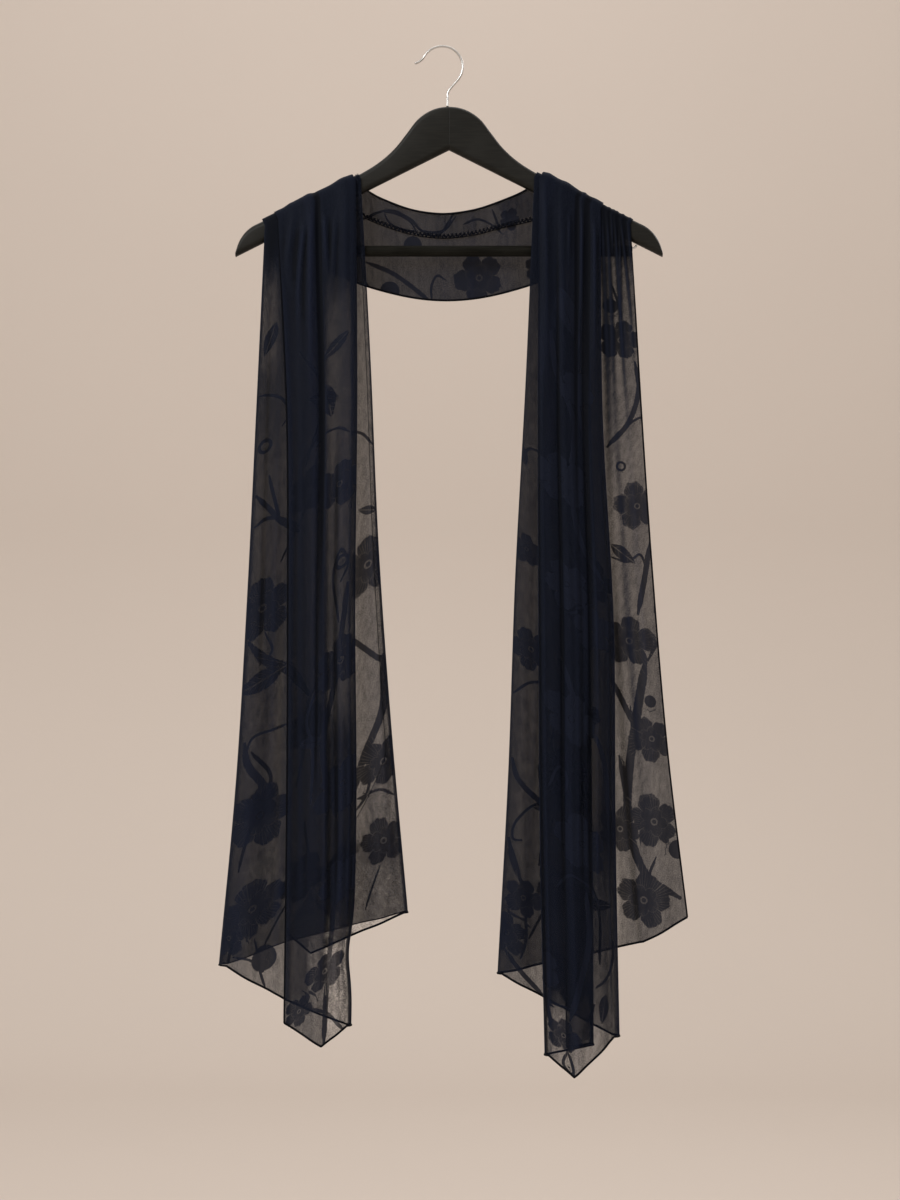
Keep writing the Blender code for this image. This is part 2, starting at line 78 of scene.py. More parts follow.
def surfaceFrom(name, grid, finish, uv=None, closedAround=False, capped=False, attributes=None):
    # a mesh from a grid of points, rows by columns; closedAround joins the last column to the first
    rows, columns = grid.shape[:2]
    index = np.arange(rows * columns).reshape(rows, columns)
    if closedAround:
        index = np.concatenate([index, index[:, :1]], axis=1)
    quads = np.stack([index[:-1, :-1], index[1:, :-1], index[1:, 1:], index[:-1, 1:]], axis=2).reshape(-1, 4)
    # the caps turn the same way as the walls
    caps = [index[0, :columns].tolist(), index[-1, :columns][::-1].tolist()] if capped else []
    mesh = bpy.data.meshes.new(name)
    corners = np.concatenate([quads.ravel(), np.array(sum(caps, []), int)])
    mesh.vertices.add(rows * columns)
    mesh.vertices.foreach_set("co", (grid.reshape(-1, 3) * mm).ravel())
    mesh.loops.add(len(corners))
    mesh.loops.foreach_set("vertex_index", corners)
    mesh.polygons.add(len(quads) + len(caps))
    starts = np.concatenate([np.arange(len(quads)) * 4, len(quads) * 4 + np.arange(len(caps)) * columns])
    mesh.polygons.foreach_set("loop_start", starts.astype(int))
    mesh.update(calc_edges=True)
    if uv is not None:
        spread = uv if not closedAround else np.concatenate([uv, uv[:, :1] + [[[0.0, 1.0]]]], axis=1)
        across = spread.shape[1]
        spot = np.arange(rows * across).reshape(rows, across)
        spots = np.stack([spot[:-1, :-1], spot[1:, :-1], spot[1:, 1:], spot[:-1, 1:]], axis=2).ravel()
        values = np.zeros((len(corners), 2))
        values[:len(spots)] = spread.reshape(-1, 2)[spots]
        mesh.uv_layers.new(name="clothUv").data.foreach_set("uv", values.ravel())
    for key, values in (attributes or {}).items():
        flat = values.reshape(rows * columns, -1)
        kind, field = ("FLOAT", "value") if flat.shape[1] == 1 else ("FLOAT_VECTOR", "vector")
        mesh.attributes.new(key, kind, "POINT").data.foreach_set(field, flat.ravel())
    mesh.shade_smooth()
    mesh.materials.append(finish)
    piece = bpy.data.objects.new(name, mesh)
    bpy.context.scene.collection.objects.link(piece)
    return piece


def tubeAlong(name, path, radius, sides, finish, facing=None, capped=True):
    # a round tube on a path: each ring is path + radius * (cos(angle) * side - sin(angle) * up), and so
    # its faces point outwards
    along = unit(np.gradient(path, axis=0))
    facing = np.array([0.0, 1.0, 0.0]) if facing is None else facing
    up = unit(np.cross(along, np.broadcast_to(facing, along.shape)))
    side = np.cross(up, along)
    angle = np.linspace(0.0, 2 * math.pi, sides, endpoint=False)[None, :, None]
    thick = np.broadcast_to(np.asarray(radius, float), (len(path),))[:, None, None]
    grid = path[:, None] + thick * (np.cos(angle) * side[:, None] - np.sin(angle) * up[:, None])
    length = alongLength(path) * mm
    uv = np.stack(np.broadcast_arrays(length[:, None], np.arange(sides)[None] / sides), axis=2)
    return surfaceFrom(name, grid, finish, uv=uv, closedAround=True, capped=capped)


# Shader helpers

def addNode(tree, kind, inputs=None, **settings):  # inputs are sockets, which are linked, or values
    node = tree.nodes.new("ShaderNode" + kind)
    for key, value in settings.items():
        setattr(node, key, value)
    for key, value in (inputs or {}).items():
        if isinstance(value, bpy.types.NodeSocket):
            tree.links.new(value, node.inputs[key])
        else:
            node.inputs[key].default_value = value
    return node


def calc(tree, operation, *values, clamp=False):  # one Math node, from sockets and plain numbers
    node = addNode(tree, "Math", dict(enumerate(values)), operation=operation, use_clamp=clamp)
    return node.outputs[0]


def ramp(tree, value, low, high, toLow=0.0, toHigh=1.0, smooth=True):  # value from low..high to toLow..toHigh
    inputs = {"Value": value, "From Min": low, "From Max": high, "To Min": toLow, "To Max": toHigh}
    kind = "SMOOTHSTEP" if smooth else "LINEAR"
    return addNode(tree, "MapRange", inputs, interpolation_type=kind).outputs["Result"]


def blend(tree, factor, first, second):  # between two numbers
    return addNode(tree, "Mix", {0: factor, 2: first, 3: second}, data_type="FLOAT").outputs[0]


def tint(tree, factor, first, second):  # between two colours
    node = addNode(tree, "Mix", {0: factor}, data_type="RGBA")
    for key, value in ((6, first), (7, second)):
        if isinstance(value, bpy.types.NodeSocket):
            tree.links.new(value, node.inputs[key])
        else:
            node.inputs[key].default_value = (*value, 1.0)
    return node.outputs[2]


def noise(tree, place, scale, detail=2.0, stretch=(1.0, 1.0, 1.0), roughness=0.5):
    mapping = addNode(tree, "Mapping", {"Vector": place, "Scale": stretch})
    inputs = {"Vector": mapping.outputs[0], "Scale": scale, "Detail": detail, "Roughness": roughness}
    return addNode(tree, "TexNoise", inputs).outputs["Fac"]


def newMaterial(name):  # with its nodes and the shader that the looks are set on
    material = bpy.data.materials.new(name)
    material.use_nodes = True
    tree = material.node_tree
    return material, tree, tree.nodes["Principled BSDF"]


# The hanger's sizes, which the cloth is laid over

hangerShape = {
    "centre": 6.3,
    "thickness": 12.0,
    "topRadius": 6.0,
    "edgeRadius": 5.5,
    "reach": (0.0, 17.8, 33.4, 43.4, 55.4, 69.5, 91.4, 196.0, 207.6, 215.6, 220.4, 222.8),
    "top": (-62.2, -65.6, -76.2, -89.1, -104.4, -117.6, -131.8, -182.5, -188.8, -197.0, -206.0, -214.0),
    "straightFrom": 91.4,
    "straightTo": 196.0,
    "underAtCentre": -107.6,
    "underSlope": -0.5,
    "tipUnder": -219.4,
}


def armLine():  # height and slope of the straight part of the arm's top
    fromHeight = np.interp(hangerShape["straightFrom"], hangerShape["reach"], hangerShape["top"])
    toHeight = np.interp(hangerShape["straightTo"], hangerShape["reach"], hangerShape["top"])
    return fromHeight, (toHeight - fromHeight) / (hangerShape["straightTo"] - hangerShape["straightFrom"])


armHeight, armSlope = armLine()
armTilt = math.atan(-armSlope)


def armAxis(x, side):  # height of the line that the cloth bends round, where it leaves the arm's front at x
    reach = side * (x - hangerShape["centre"]) + hangerShape["topRadius"] * math.sin(armTilt)
    height = armHeight + armSlope * (reach - hangerShape["straightFrom"])
    return height - hangerShape["topRadius"] * math.cos(armTilt)


# The two drops

clothShape = {
    "firstLayer": 0.9,
    "stepAtArm": 0.85,
    "stepAtHem": 9.0,
    "swingBack": 14.0,
    "seamBelowArm": 6.0,
    "narrowest": 2.5,
    "gatheredMore": 1.1,
    "gatheredFade": 70.0,
    "turnColumns": 9,
    "wrapRows": 22,
    "fallRows": 270,
}

# Each drop is one width of cloth laid to and fro. The turns come in the cloth's own order from the
# front: x at the arm, at each quarter of the fall and at the hem, and the height of the hem there. A
# turn may also push its bend sideways at one place down the fall, and may carry a painted highlight,
# a blue sheen painted along its bend.
# A ridge is a stretch, its places across at three heights, half width, height, how much more cloth it
# holds, where it starts and how far down it reaches. A crease is the same, with the parts of the fall
# that it runs from and to. A looser place is a stretch, its x and z, and the share of the ground that
# is left out. A fold is a stretch, its places, half width and its heights at arm, middle and hem.
leftDrop = {
    "name": "leftDrop",
    "node": "scarf_left_drop",
    "side": -1,
    "turns": [
        {"x": (-172.0, -162.0, -161.0, -162.0, -164.5), "hem": -1015.0},
        {"x": (-90.5, -88.8, -90.9, -89.8, -95.0), "hem": -1018.0,
         "dent": (0.915, 0.035, -4.5), "paintedSheen": 0.7},
        {"x": (-185.5, -194.3, -203.7, -215.7, -234.0), "hem": -957.5},
        {"x": (-85.5, -75.2, -66.9, -53.6, -36.6), "hem": -903.6},
        {"x": (-88.0, -78.0, -70.5, -57.5, -163.0), "hem": -924.0},
    ],
    "stretches": [
        {"name": "frontPanel", "layer": 3, "columns": 66, "corner": 0.594, "drop": 21.5},
        {"name": "wingFront", "layer": 2, "columns": 56, "corner": 0.504, "drop": 5.4},
        {"name": "back", "layer": 0, "columns": 84, "corner": 0.349, "drop": -5.2, "hem": 0.55},
        {"name": "hidden", "layer": 1, "columns": 30, "corner": 0.793, "drop": 25.0},
    ],
    "ridges": [
        ("frontPanel", (0.20, 0.11, 0.19), 3.8, 1.7, 0.5, -40.0, 100.0),
        ("frontPanel", (0.36, 0.23, 0.26), 3.0, 2.5, 0.5, 4.0, 170.0),
        ("frontPanel", (0.44, 0.37, 0.33), 4.4, 2.8, 0.2, -40.0, 240.0),
        ("frontPanel", (0.515, 0.53, 0.52), 2.3, -1.3, 3.4, -40.0, 520.0),
        ("frontPanel", (0.59, 0.61, 0.67), 2.6, 1.9, 0.2, 6.0, 110.0),
        ("frontPanel", (0.75, 0.70, 0.63), 2.6, 1.7, 0.8, 16.0, 140.0),
        ("frontPanel", (0.87, 0.86, 0.84), 7.0, 1.6, 0.0, -40.0, 260.0),
        ("wingFront", (0.92, 0.92, 0.92), 14.0, 0.0, 2.0, -40.0, 78.0),
    ],
    "creases": [
        ("frontPanel", (0.03, 0.04, 0.04), 3.2, 0.20, 0.9, -0.2, 1.1),
        ("frontPanel", (0.22, 0.20, 0.25), 3.0, 0.22, 0.3, 0.10, 0.95),
        ("frontPanel", (0.50, 0.46, 0.42), 2.2, -0.30, 0.8, -0.1, 0.80),
        ("frontPanel", (0.62, 0.57, 0.60), 2.6, 0.28, 0.3, 0.15, 1.0),
        ("frontPanel", (0.78, 0.74, 0.80), 2.2, -0.20, 0.5, 0.25, 0.92),
        ("frontPanel", (0.96, 0.95, 0.95), 1.8, 0.24, 0.7, -0.2, 1.1),
        ("wingFront", (0.80, 0.78, 0.70), 3.5, 0.20, 0.2, 0.05, 0.85),
        ("wingFront", (0.93, 0.90, 0.86), 3.0, -0.22, 0.3, 0.00, 0.70),
        ("wingFront", (0.60, 0.62, 0.60), 4.0, 0.18, 0.2, 0.30, 1.1),
        ("back", (0.12, 0.14, 0.18), 4.5, -0.20, 0.2, 0.10, 0.90),
        ("back", (0.45, 0.40, 0.42), 4.0, 0.22, 0.3, 0.00, 1.0),
        ("back", (0.97, 0.96, 0.95), 3.0, 0.16, 0.0, 0.30, 1.1),
        ("hidden", (0.50, 0.50, 0.60), 5.0, 0.16, 0.0, 0.80, 1.1),
    ],
    "looser": [
        ("back", (-122.0, -94.0), (-700.0, -250.0), 0.86),
        ("hidden", (-200.0, -20.0), (-840.0, -100.0), 0.82),
        ("hidden", (-200.0, -20.0), (-1100.0, -840.0), 0.50),
        ("wingFront", (-240.0, -60.0), (-1100.0, -420.0), 0.07),
        ("wingFront", (-205.0, -172.0), (-330.0, -225.0), 0.24),
        ("back", (-205.0, -172.0), (-330.0, -225.0), 0.12),
        ("wingFront", (-122.0, -94.0), (-700.0, -250.0), 0.15),
        ("wingFront", (-140.0, -80.0), (-1040.0, -920.0), 0.70),
        ("frontPanel", (-122.0, -97.0), (-1060.0, -905.0), 0.42),
        ("wingFront", (-122.0, -97.0), (-1060.0, -905.0), 0.60),
    ],
    "edges": {"hem": 1.15, "first": 0.9, "last": 0.3},
    "folds": [
        ("frontPanel", (0.34, 0.50), 0.16, (1.5, 5.0, 3.0)),
        ("frontPanel", (0.86, 0.84), 0.10, (1.0, 3.0, 5.0)),
    ],
}
rightDrop = {
    "name": "rightDrop",
    "node": "scarf_right_drop",
    "side": 1,
    "turns": [
        {"x": (103.6, 117.0, 124.0, 127.0, 128.5), "hem": -1041.5},
        {"x": (113.0, 143.0, 151.5, 155.0, 156.2), "hem": -1037.5},
        {"x": (99.8, 98.2, 98.7, 100.3, 105.0), "hem": -1047.2},
        {"x": (164.0, 166.1, 177.6, 179.7, 183.9), "hem": -1030.6, "paintedSheen": 1.3},
        {"x": (95.0, 86.2, 75.2, 67.9, 56.9), "hem": -967.0},
        {"x": (195.3, 205.8, 218.3, 234.0, 255.9), "hem": -909.3},
    ],
    "stretches": [
        {"name": "tuckBack", "layer": 2, "columns": 10, "corner": 0.5, "drop": 0.0},
        {"name": "tuckFront", "layer": 3, "columns": 20, "corner": 0.5, "drop": 0.0},
        {"name": "frontPanel", "layer": 4, "columns": 76, "corner": 0.377, "drop": 27.4,
         "sink": 1.6, "sinkFrom": (0.38, 0.72)},
        {"name": "wingFront", "layer": 1, "columns": 50, "corner": 0.5, "drop": 0.0},
        {"name": "back", "layer": 0, "columns": 96, "corner": 0.76, "drop": 11.5},
    ],
    "ridges": [
        ("frontPanel", (0.09, 0.11, 0.09), 3.4, 2.0, 0.2, -40.0, 230.0),
        ("frontPanel", (0.33, 0.37, 0.34), 5.5, 2.4, 0.0, -40.0, 240.0),
        ("frontPanel", (0.50, 0.49, 0.49), 1.9, 2.0, 0.5, 8.0, 100.0),
        ("frontPanel", (0.62, 0.61, 0.58), 2.6, -0.9, 2.4, -40.0, 330.0),
        ("frontPanel", (0.70, 0.70, 0.67), 1.9, 2.4, 0.4, -40.0, 160.0),
        ("frontPanel", (0.80, 0.79, 0.77), 2.8, -1.0, 2.8, -40.0, 520.0),
        ("frontPanel", (0.91, 0.92, 0.91), 2.4, 2.4, 0.3, 4.0, 210.0),
        ("back", (0.70, 0.715, 0.72), 3.0, 1.6, 2.2, -40.0, 330.0),
        ("back", (0.755, 0.77, 0.765), 1.7, 2.2, 2.2, -40.0, 240.0),
        ("back", (0.80, 0.80, 0.80), 1.3, 2.4, 1.2, -40.0, 60.0),
        ("back", (0.835, 0.855, 0.885), 1.5, 2.4, 2.2, -40.0, 260.0),
        ("back", (0.885, 0.868, 0.858), 1.2, 2.2, 1.6, 4.0, 150.0),
        ("back", (0.900, 0.95, 0.965), 1.3, 2.4, 1.8, -40.0, 190.0),
        ("back", (0.975, 0.985, 0.99), 1.3, 2.0, 0.6, -40.0, 80.0),
        ("back", (0.90, 0.91, 0.92), 15.0, 0.0, 1.6, -40.0, 62.0),
    ],
    "creases": [
        ("frontPanel", (0.04, 0.04, 0.04), 2.4, 0.22, 0.8, -0.2, 1.1),
        ("frontPanel", (0.31, 0.30, 0.27), 2.4, -0.28, 0.6, -0.1, 0.85),
        ("frontPanel", (0.50, 0.52, 0.50), 2.6, 0.26, 0.3, 0.10, 0.90),
        ("frontPanel", (0.73, 0.70, 0.66), 2.4, -0.34, 0.8, -0.1, 0.90),
        ("frontPanel", (0.80, 0.80, 0.78), 1.8, 0.28, 0.2, 0.10, 0.90),
        ("frontPanel", (0.96, 0.96, 0.96), 1.7, 0.22, 0.5, 0.10, 1.1),
        ("wingFront", (0.70, 0.76, 0.82), 3.0, 0.18, 0.2, 0.05, 0.90),
        ("wingFront", (0.30, 0.30, 0.34), 4.0, -0.18, 0.2, 0.20, 1.1),
        ("back", (0.74, 0.80, 0.84), 2.6, 0.20, 0.5, 0.05, 0.85),
        ("back", (0.86, 0.90, 0.93), 3.2, 0.26, 0.1, 0.00, 0.75),
        ("back", (0.66, 0.71, 0.74), 3.0, -0.20, 0.3, 0.15, 1.1),
        ("back", (0.20, 0.22, 0.26), 4.0, 0.20, 0.2, 0.05, 0.95),
    ],
    "looser": [
        ("wingFront", (40.0, 200.0), (-1100.0, -520.0), 0.05),
        ("wingFront", (156.0, 200.0), (-1060.0, -860.0), 0.34),
        ("back", (156.0, 184.0), (-1060.0, -860.0), 0.20),
        ("tuckFront", (90.0, 127.0), (-1080.0, -995.0), 0.85),
        ("tuckBack", (90.0, 200.0), (-1080.0, -900.0), 0.45),
        ("frontPanel", (90.0, 200.0), (-1100.0, -1000.0), 0.15),
        ("frontPanel", (140.0, 162.0), (-815.0, -700.0), 0.45),
    ],
    "edges": {"hem": 1.15, "first": 0.8, "last": 0.9},
    "folds": [
        ("frontPanel", (0.14, 0.16), 0.12, (1.5, 3.5, 4.0)),
        ("frontPanel", (0.42, 0.42), 0.10, (1.2, 3.5, 5.0)),
        ("frontPanel", (0.88, 0.86), 0.09, (0.5, 4.0, 3.0)),
    ],
}
# Waves are x at the arm and at the hem, half width and height. They push every layer forwards at once,
# so that the layers never meet.
longWaves = [
    ((-183.0, -205.0), 17.0, 9.0),
    ((-128.0, -128.0), 26.0, 7.0),
    ((-80.0, -66.0), 13.0, 8.0),
    ((92.0, 78.0), 13.0, 8.0),
    ((140.0, 146.0), 24.0, 6.0),
    ((185.0, 226.0), 16.0, 10.0),
]


def waveAt(x, z):
    # the sum of hills across x, which grow with an S from nothing at the arm to full height near the hem
    way = np.clip((-240.0 - z) / 640.0, 0.0, 1.0)
    pushed = np.zeros_like(x)
    for (atArm, atHem), half, height in longWaves:
        middle = atArm + (atHem - atArm) * way
        pushed += height * smoothStep(way) * bump((x - middle) / half)
    return pushed


def layerAt(stretch, share, fall):  # the layer a stretch lies in; its far end may settle lower
    start, end = stretch.get("sinkFrom", (0.0, 0.0))
    begin = start + (end - start) * fall
    return stretch["layer"] - stretch.get("sink", 0.0) * smoothStep((share - begin) / (1.001 - begin))


def creasedDepth(drop, name, share, fall, width, step, flatDepth):
    # a stretch's depth with hills added at its ridges, creases and folds, and how much more cloth they
    # hold; a hill is its height times a soft bump of the distance across over its half width
    depth, more = flatDepth, 0 * flatDepth
    distance = fall * 800.0
    thirds = (0.0, 0.5, 1.0)
    for stretch, at, half, height, extra, start, reach in drop["ridges"]:
        if stretch == name:
            way = distance / reach
            off = (share - curveThrough(thirds, at, np.minimum(way, 1.0))) * width / half
            rise = (1 - smoothStep((way - 0.25) / 0.75)) * smoothStep((distance - start) / 28)
            depth = depth + height * rise * (0.35 + 0.65 * smoothStep(distance / 30)) * bump(off)
            more = more + extra * rise * bump(off)
    for stretch, at, half, height, extra, start, end in drop["creases"]:
        if stretch == name:
            off = (share - curveThrough(thirds, at, fall)) * width / half
            rise = smoothStep((fall - start) / 0.15) * smoothStep((end - fall) / 0.2)
            depth = depth + height * step * rise * bump(off)
            more = more + extra * rise * bump(off)
    for stretch, (atArm, atHem), half, heights in drop["folds"]:
        if stretch == name:
            height = curveThrough(thirds, heights, fall)
            place = atArm + (atHem - atArm) * fall
            depth = depth + height * bump((share - place) / half)
    return depth, more


def hungGrid(joined, fall, side):
    # points of a drop: a short run up from the seam behind the arm, a half circle over the arm at each
    # point's depth, and the fall in front, which swings back towards the hem; and where the fall starts
    x, depth = joined["x"], joined["depth"]
    start = armAxis(x[0], side)
    z = start + (joined["hem"] - start) * fall
    swing = clothShape["swingBack"] * smoothStep((fall - 0.12) / 0.88)
    y = -(hangerShape["topRadius"] + clothShape["firstLayer"] + depth + waveAt(x, z) - swing)
    front = np.stack([x, y, z], axis=2)
    out = hangerShape["topRadius"] + clothShape["firstLayer"] + depth[:1]
    angle = np.radians(np.linspace(-90.0, 90.0, clothShape["wrapRows"] + 1))[:-1, None]
    over = np.stack([
        x[:1] + side * math.sin(armTilt) * np.cos(angle) * out,
        -np.sin(angle) * out,
        start + math.cos(armTilt) * np.cos(angle) * out,
    ], axis=2)
    below = np.linspace(clothShape["seamBelowArm"] + 0.2, 0.0, 4)[:-1, None, None] * np.array([0.0, 0.0, 1.0])
    return np.concatenate([over[:1] - below, over, front]), start - z


def dropForm(drop):
    # Rows run from the seam behind the arm, over the arm, to the hem. Columns run across the width:
    # a stretch is a straight run between two turns, and a turn is a half circle between two layers.
    rows = clothShape["fallRows"]
    fall = (np.linspace(0.0, 1.0, rows) ** 1.12)[:, None]
    step = clothShape["stepAtArm"] + (clothShape["stepAtHem"] - clothShape["stepAtArm"]) * fall ** 0.7
    turns, stretches, side = drop["turns"], drop["stretches"], drop["side"]
    quarters = (0.0, 0.25, 0.5, 0.75, 1.0)
    places = []
    for turn in turns:
        at, half, push = turn.get("dent", (0.0, 1.0, 0.0))
        places.append(curveThrough(quarters, turn["x"], fall) + push * bump((fall - at) / half))
    levels = [layerAt(stretch, np.array([0.0, 1.0]), fall) for stretch in stretches]
    halves = [np.abs(a[:, 1:] - b[:, :1]) * step / 2 for a, b in zip(levels[:-1], levels[1:])]
    radii = [0 * fall] + halves + [0 * fall]
    ways = [1.0 if turns[k]["x"][4] > turns[k - 1]["x"][4] else -1.0 for k in range(1, len(turns) - 1)]
    outward = [0.0] + ways + [0.0]
    fields = ("x", "depth", "flatX", "flatDepth", "shadingRelief", "more", "lit", "hem", "stretch")
    parts = {key: [] for key in fields}
    for number, stretch in enumerate(stretches):
        corner, columns = stretch["corner"], stretch["columns"]
        before = round(columns * corner)
        after = np.linspace(corner, 1, columns - before + 1)[1:]
        share = np.concatenate([np.linspace(0, corner, before), after])
        first = places[number] - outward[number] * radii[number]
        last = places[number + 1] - outward[number + 1] * radii[number + 1]
        way = 1.0 if turns[number + 1]["x"][4] > turns[number]["x"][4] else -1.0
        last = first + way * np.maximum(way * (last - first), clothShape["narrowest"])
        flatDepth = layerAt(stretch, share, fall) * step
        width = np.abs(last - first)
        depth, more = creasedDepth(drop, stretch["name"], share, fall, width, step, flatDepth)
        dip = stretch["drop"] * np.minimum(share / corner, (1 - share) / (1 - corner)) * width / width[-1]
        flatX = first + (last - first) * share
        turnHem = turns[number]["hem"] + (turns[number + 1]["hem"] - turns[number]["hem"]) * share - dip
        for key, value in (("x", flatX), ("depth", depth), ("flatX", flatX), ("flatDepth", flatDepth)):
            parts[key].append(value)
        parts["shadingRelief"].append(depth - flatDepth)
        parts["more"].append(more)
        parts["lit"].append(0 * more)
        parts["hem"].append(turnHem)
        parts["stretch"].append(np.full(len(share), float(number)))
        if number + 1 < len(stretches):
            count = clothShape["turnColumns"]
            angle = math.pi * np.arange(1, count + 1) / (count + 1)
            centre = places[number + 1] - outward[number + 1] * radii[number + 1]
            into, outOf = levels[number][:, 1:] * step, levels[number + 1][:, :1] * step
            turnX = centre + outward[number + 1] * radii[number + 1] * np.sin(angle)
            turnDepth = (into + outOf) / 2 + (into - outOf) / 2 * np.cos(angle)
            turned = {"x": turnX, "depth": turnDepth, "flatX": turnX, "flatDepth": turnDepth}
            for key, value in turned.items():
                parts[key].append(value)
            parts["shadingRelief"].append(np.zeros((rows, count)))
            # the turn's painted highlight, where its table gives one
            parts["lit"].append(np.full((rows, count), turns[number + 1].get("paintedSheen", 0.0)))
            parts["more"].append(np.zeros((rows, count)))
            parts["hem"].append(np.full((rows, count), turns[number + 1]["hem"]))
            parts["stretch"].append(np.full(count, number + 0.5))
    joined = {key: np.concatenate(value, axis=-1) for key, value in parts.items()}
    grid, down = hungGrid(joined, fall, side)
    # the cloth's own flat coordinates: across along the folded section, down from the arm
    flat = np.stack([joined["flatX"], joined["flatDepth"]], axis=2)
    steps = np.linalg.norm(np.diff(flat, axis=1), axis=2)
    across = np.concatenate([np.zeros((rows, 1)), np.cumsum(steps, axis=1)], axis=1)
    above = -np.cumsum(np.full(len(grid) - rows, 1.2))[::-1, None] + 0 * down[:1]
    across = np.concatenate([np.repeat(across[:1], len(above), axis=0), across])
    down = np.concatenate([above, down])
    form = {"grid": grid, "across": across, "down": down, "stretch": joined["stretch"], "wrap": len(above)}
    # the shading relief that the cloth's colour is painted from: ridges, and turns with a painted highlight,
    # take a painted blue sheen; creases and places that hold more cloth take painted shade
    shadingRelief = joined["shadingRelief"] - meanAcross(joined["shadingRelief"], 11) - 0.35 * joined["more"] + joined["lit"]
    shadingRelief = np.concatenate([np.repeat(shadingRelief[:1], len(above), axis=0), shadingRelief])
    more = np.concatenate([np.repeat(joined["more"][:1], len(above), axis=0), joined["more"]])
    form["cloth"] = np.stack([packedAt(form) + more, looserAt(form, drop), shadingRelief], axis=2)
    return form


def meanAcross(field, count):  # the mean over a run of columns, which is an odd count
    padded = np.pad(field, ((0, 0), (count // 2 + 1, count // 2)), mode="edge")
    total = np.cumsum(padded, axis=1)
    return (total[:, count:] - total[:, :-count]) / count


def packedAt(form):
    # how much cloth there is in a given width: 1 where it lies flat, more where it slopes or is gathered
    # on the arm; the gathers fade out downwards as an exponential
    grid = form["grid"]
    out = unit(np.cross(np.gradient(grid, axis=1), np.gradient(grid, axis=0)))
    slope = 1.0 / np.maximum(np.hypot(out[:, :, 1], out[:, :, 2]), 0.30)
    fade = np.exp(-np.maximum(form["down"], 0.0) / clothShape["gatheredFade"])
    return slope + clothShape["gatheredMore"] * fade


def looserAt(form, drop):  # soft-edged places where the weave is more open, as shares of the ground's cover
    x, z = form["grid"][:, :, 0], form["grid"][:, :, 2]
    names = [stretch["name"] for stretch in drop["stretches"]]
    share = np.zeros_like(x)
    for stretch, (left, right), (low, high), opened in drop["looser"]:
        inside = np.abs(form["stretch"] - names.index(stretch)) < 0.4
        spread = smoothStep((x - left) / 8 + 0.5) * smoothStep((right - x) / 8 + 0.5)
        spread = spread * smoothStep((z - low) / 60 + 0.5) * smoothStep((high - z) / 60 + 0.5)
        share = np.maximum(share, opened * spread * inside)
    return share


def flatPlace(form, stretches, name, x, z):  # flat coordinates of the point of a stretch seen at x, z
    columns = np.flatnonzero(form["stretch"] == [s["name"] for s in stretches].index(name))
    front = form["grid"][form["wrap"]:, columns]
    gap = (front[:, :, 0] - x) ** 2 + (front[:, :, 2] - z) ** 2
    row, column = np.unravel_index(np.argmin(gap), gap.shape)
    row, column = form["wrap"] + row, columns[column]
    return form["across"][row, column], form["down"][row, column]


print("cloth forms")
leftForm = dropForm(leftDrop)
rightForm = dropForm(rightDrop)
print("left", leftForm["grid"].shape, "right", rightForm["grid"].shape)
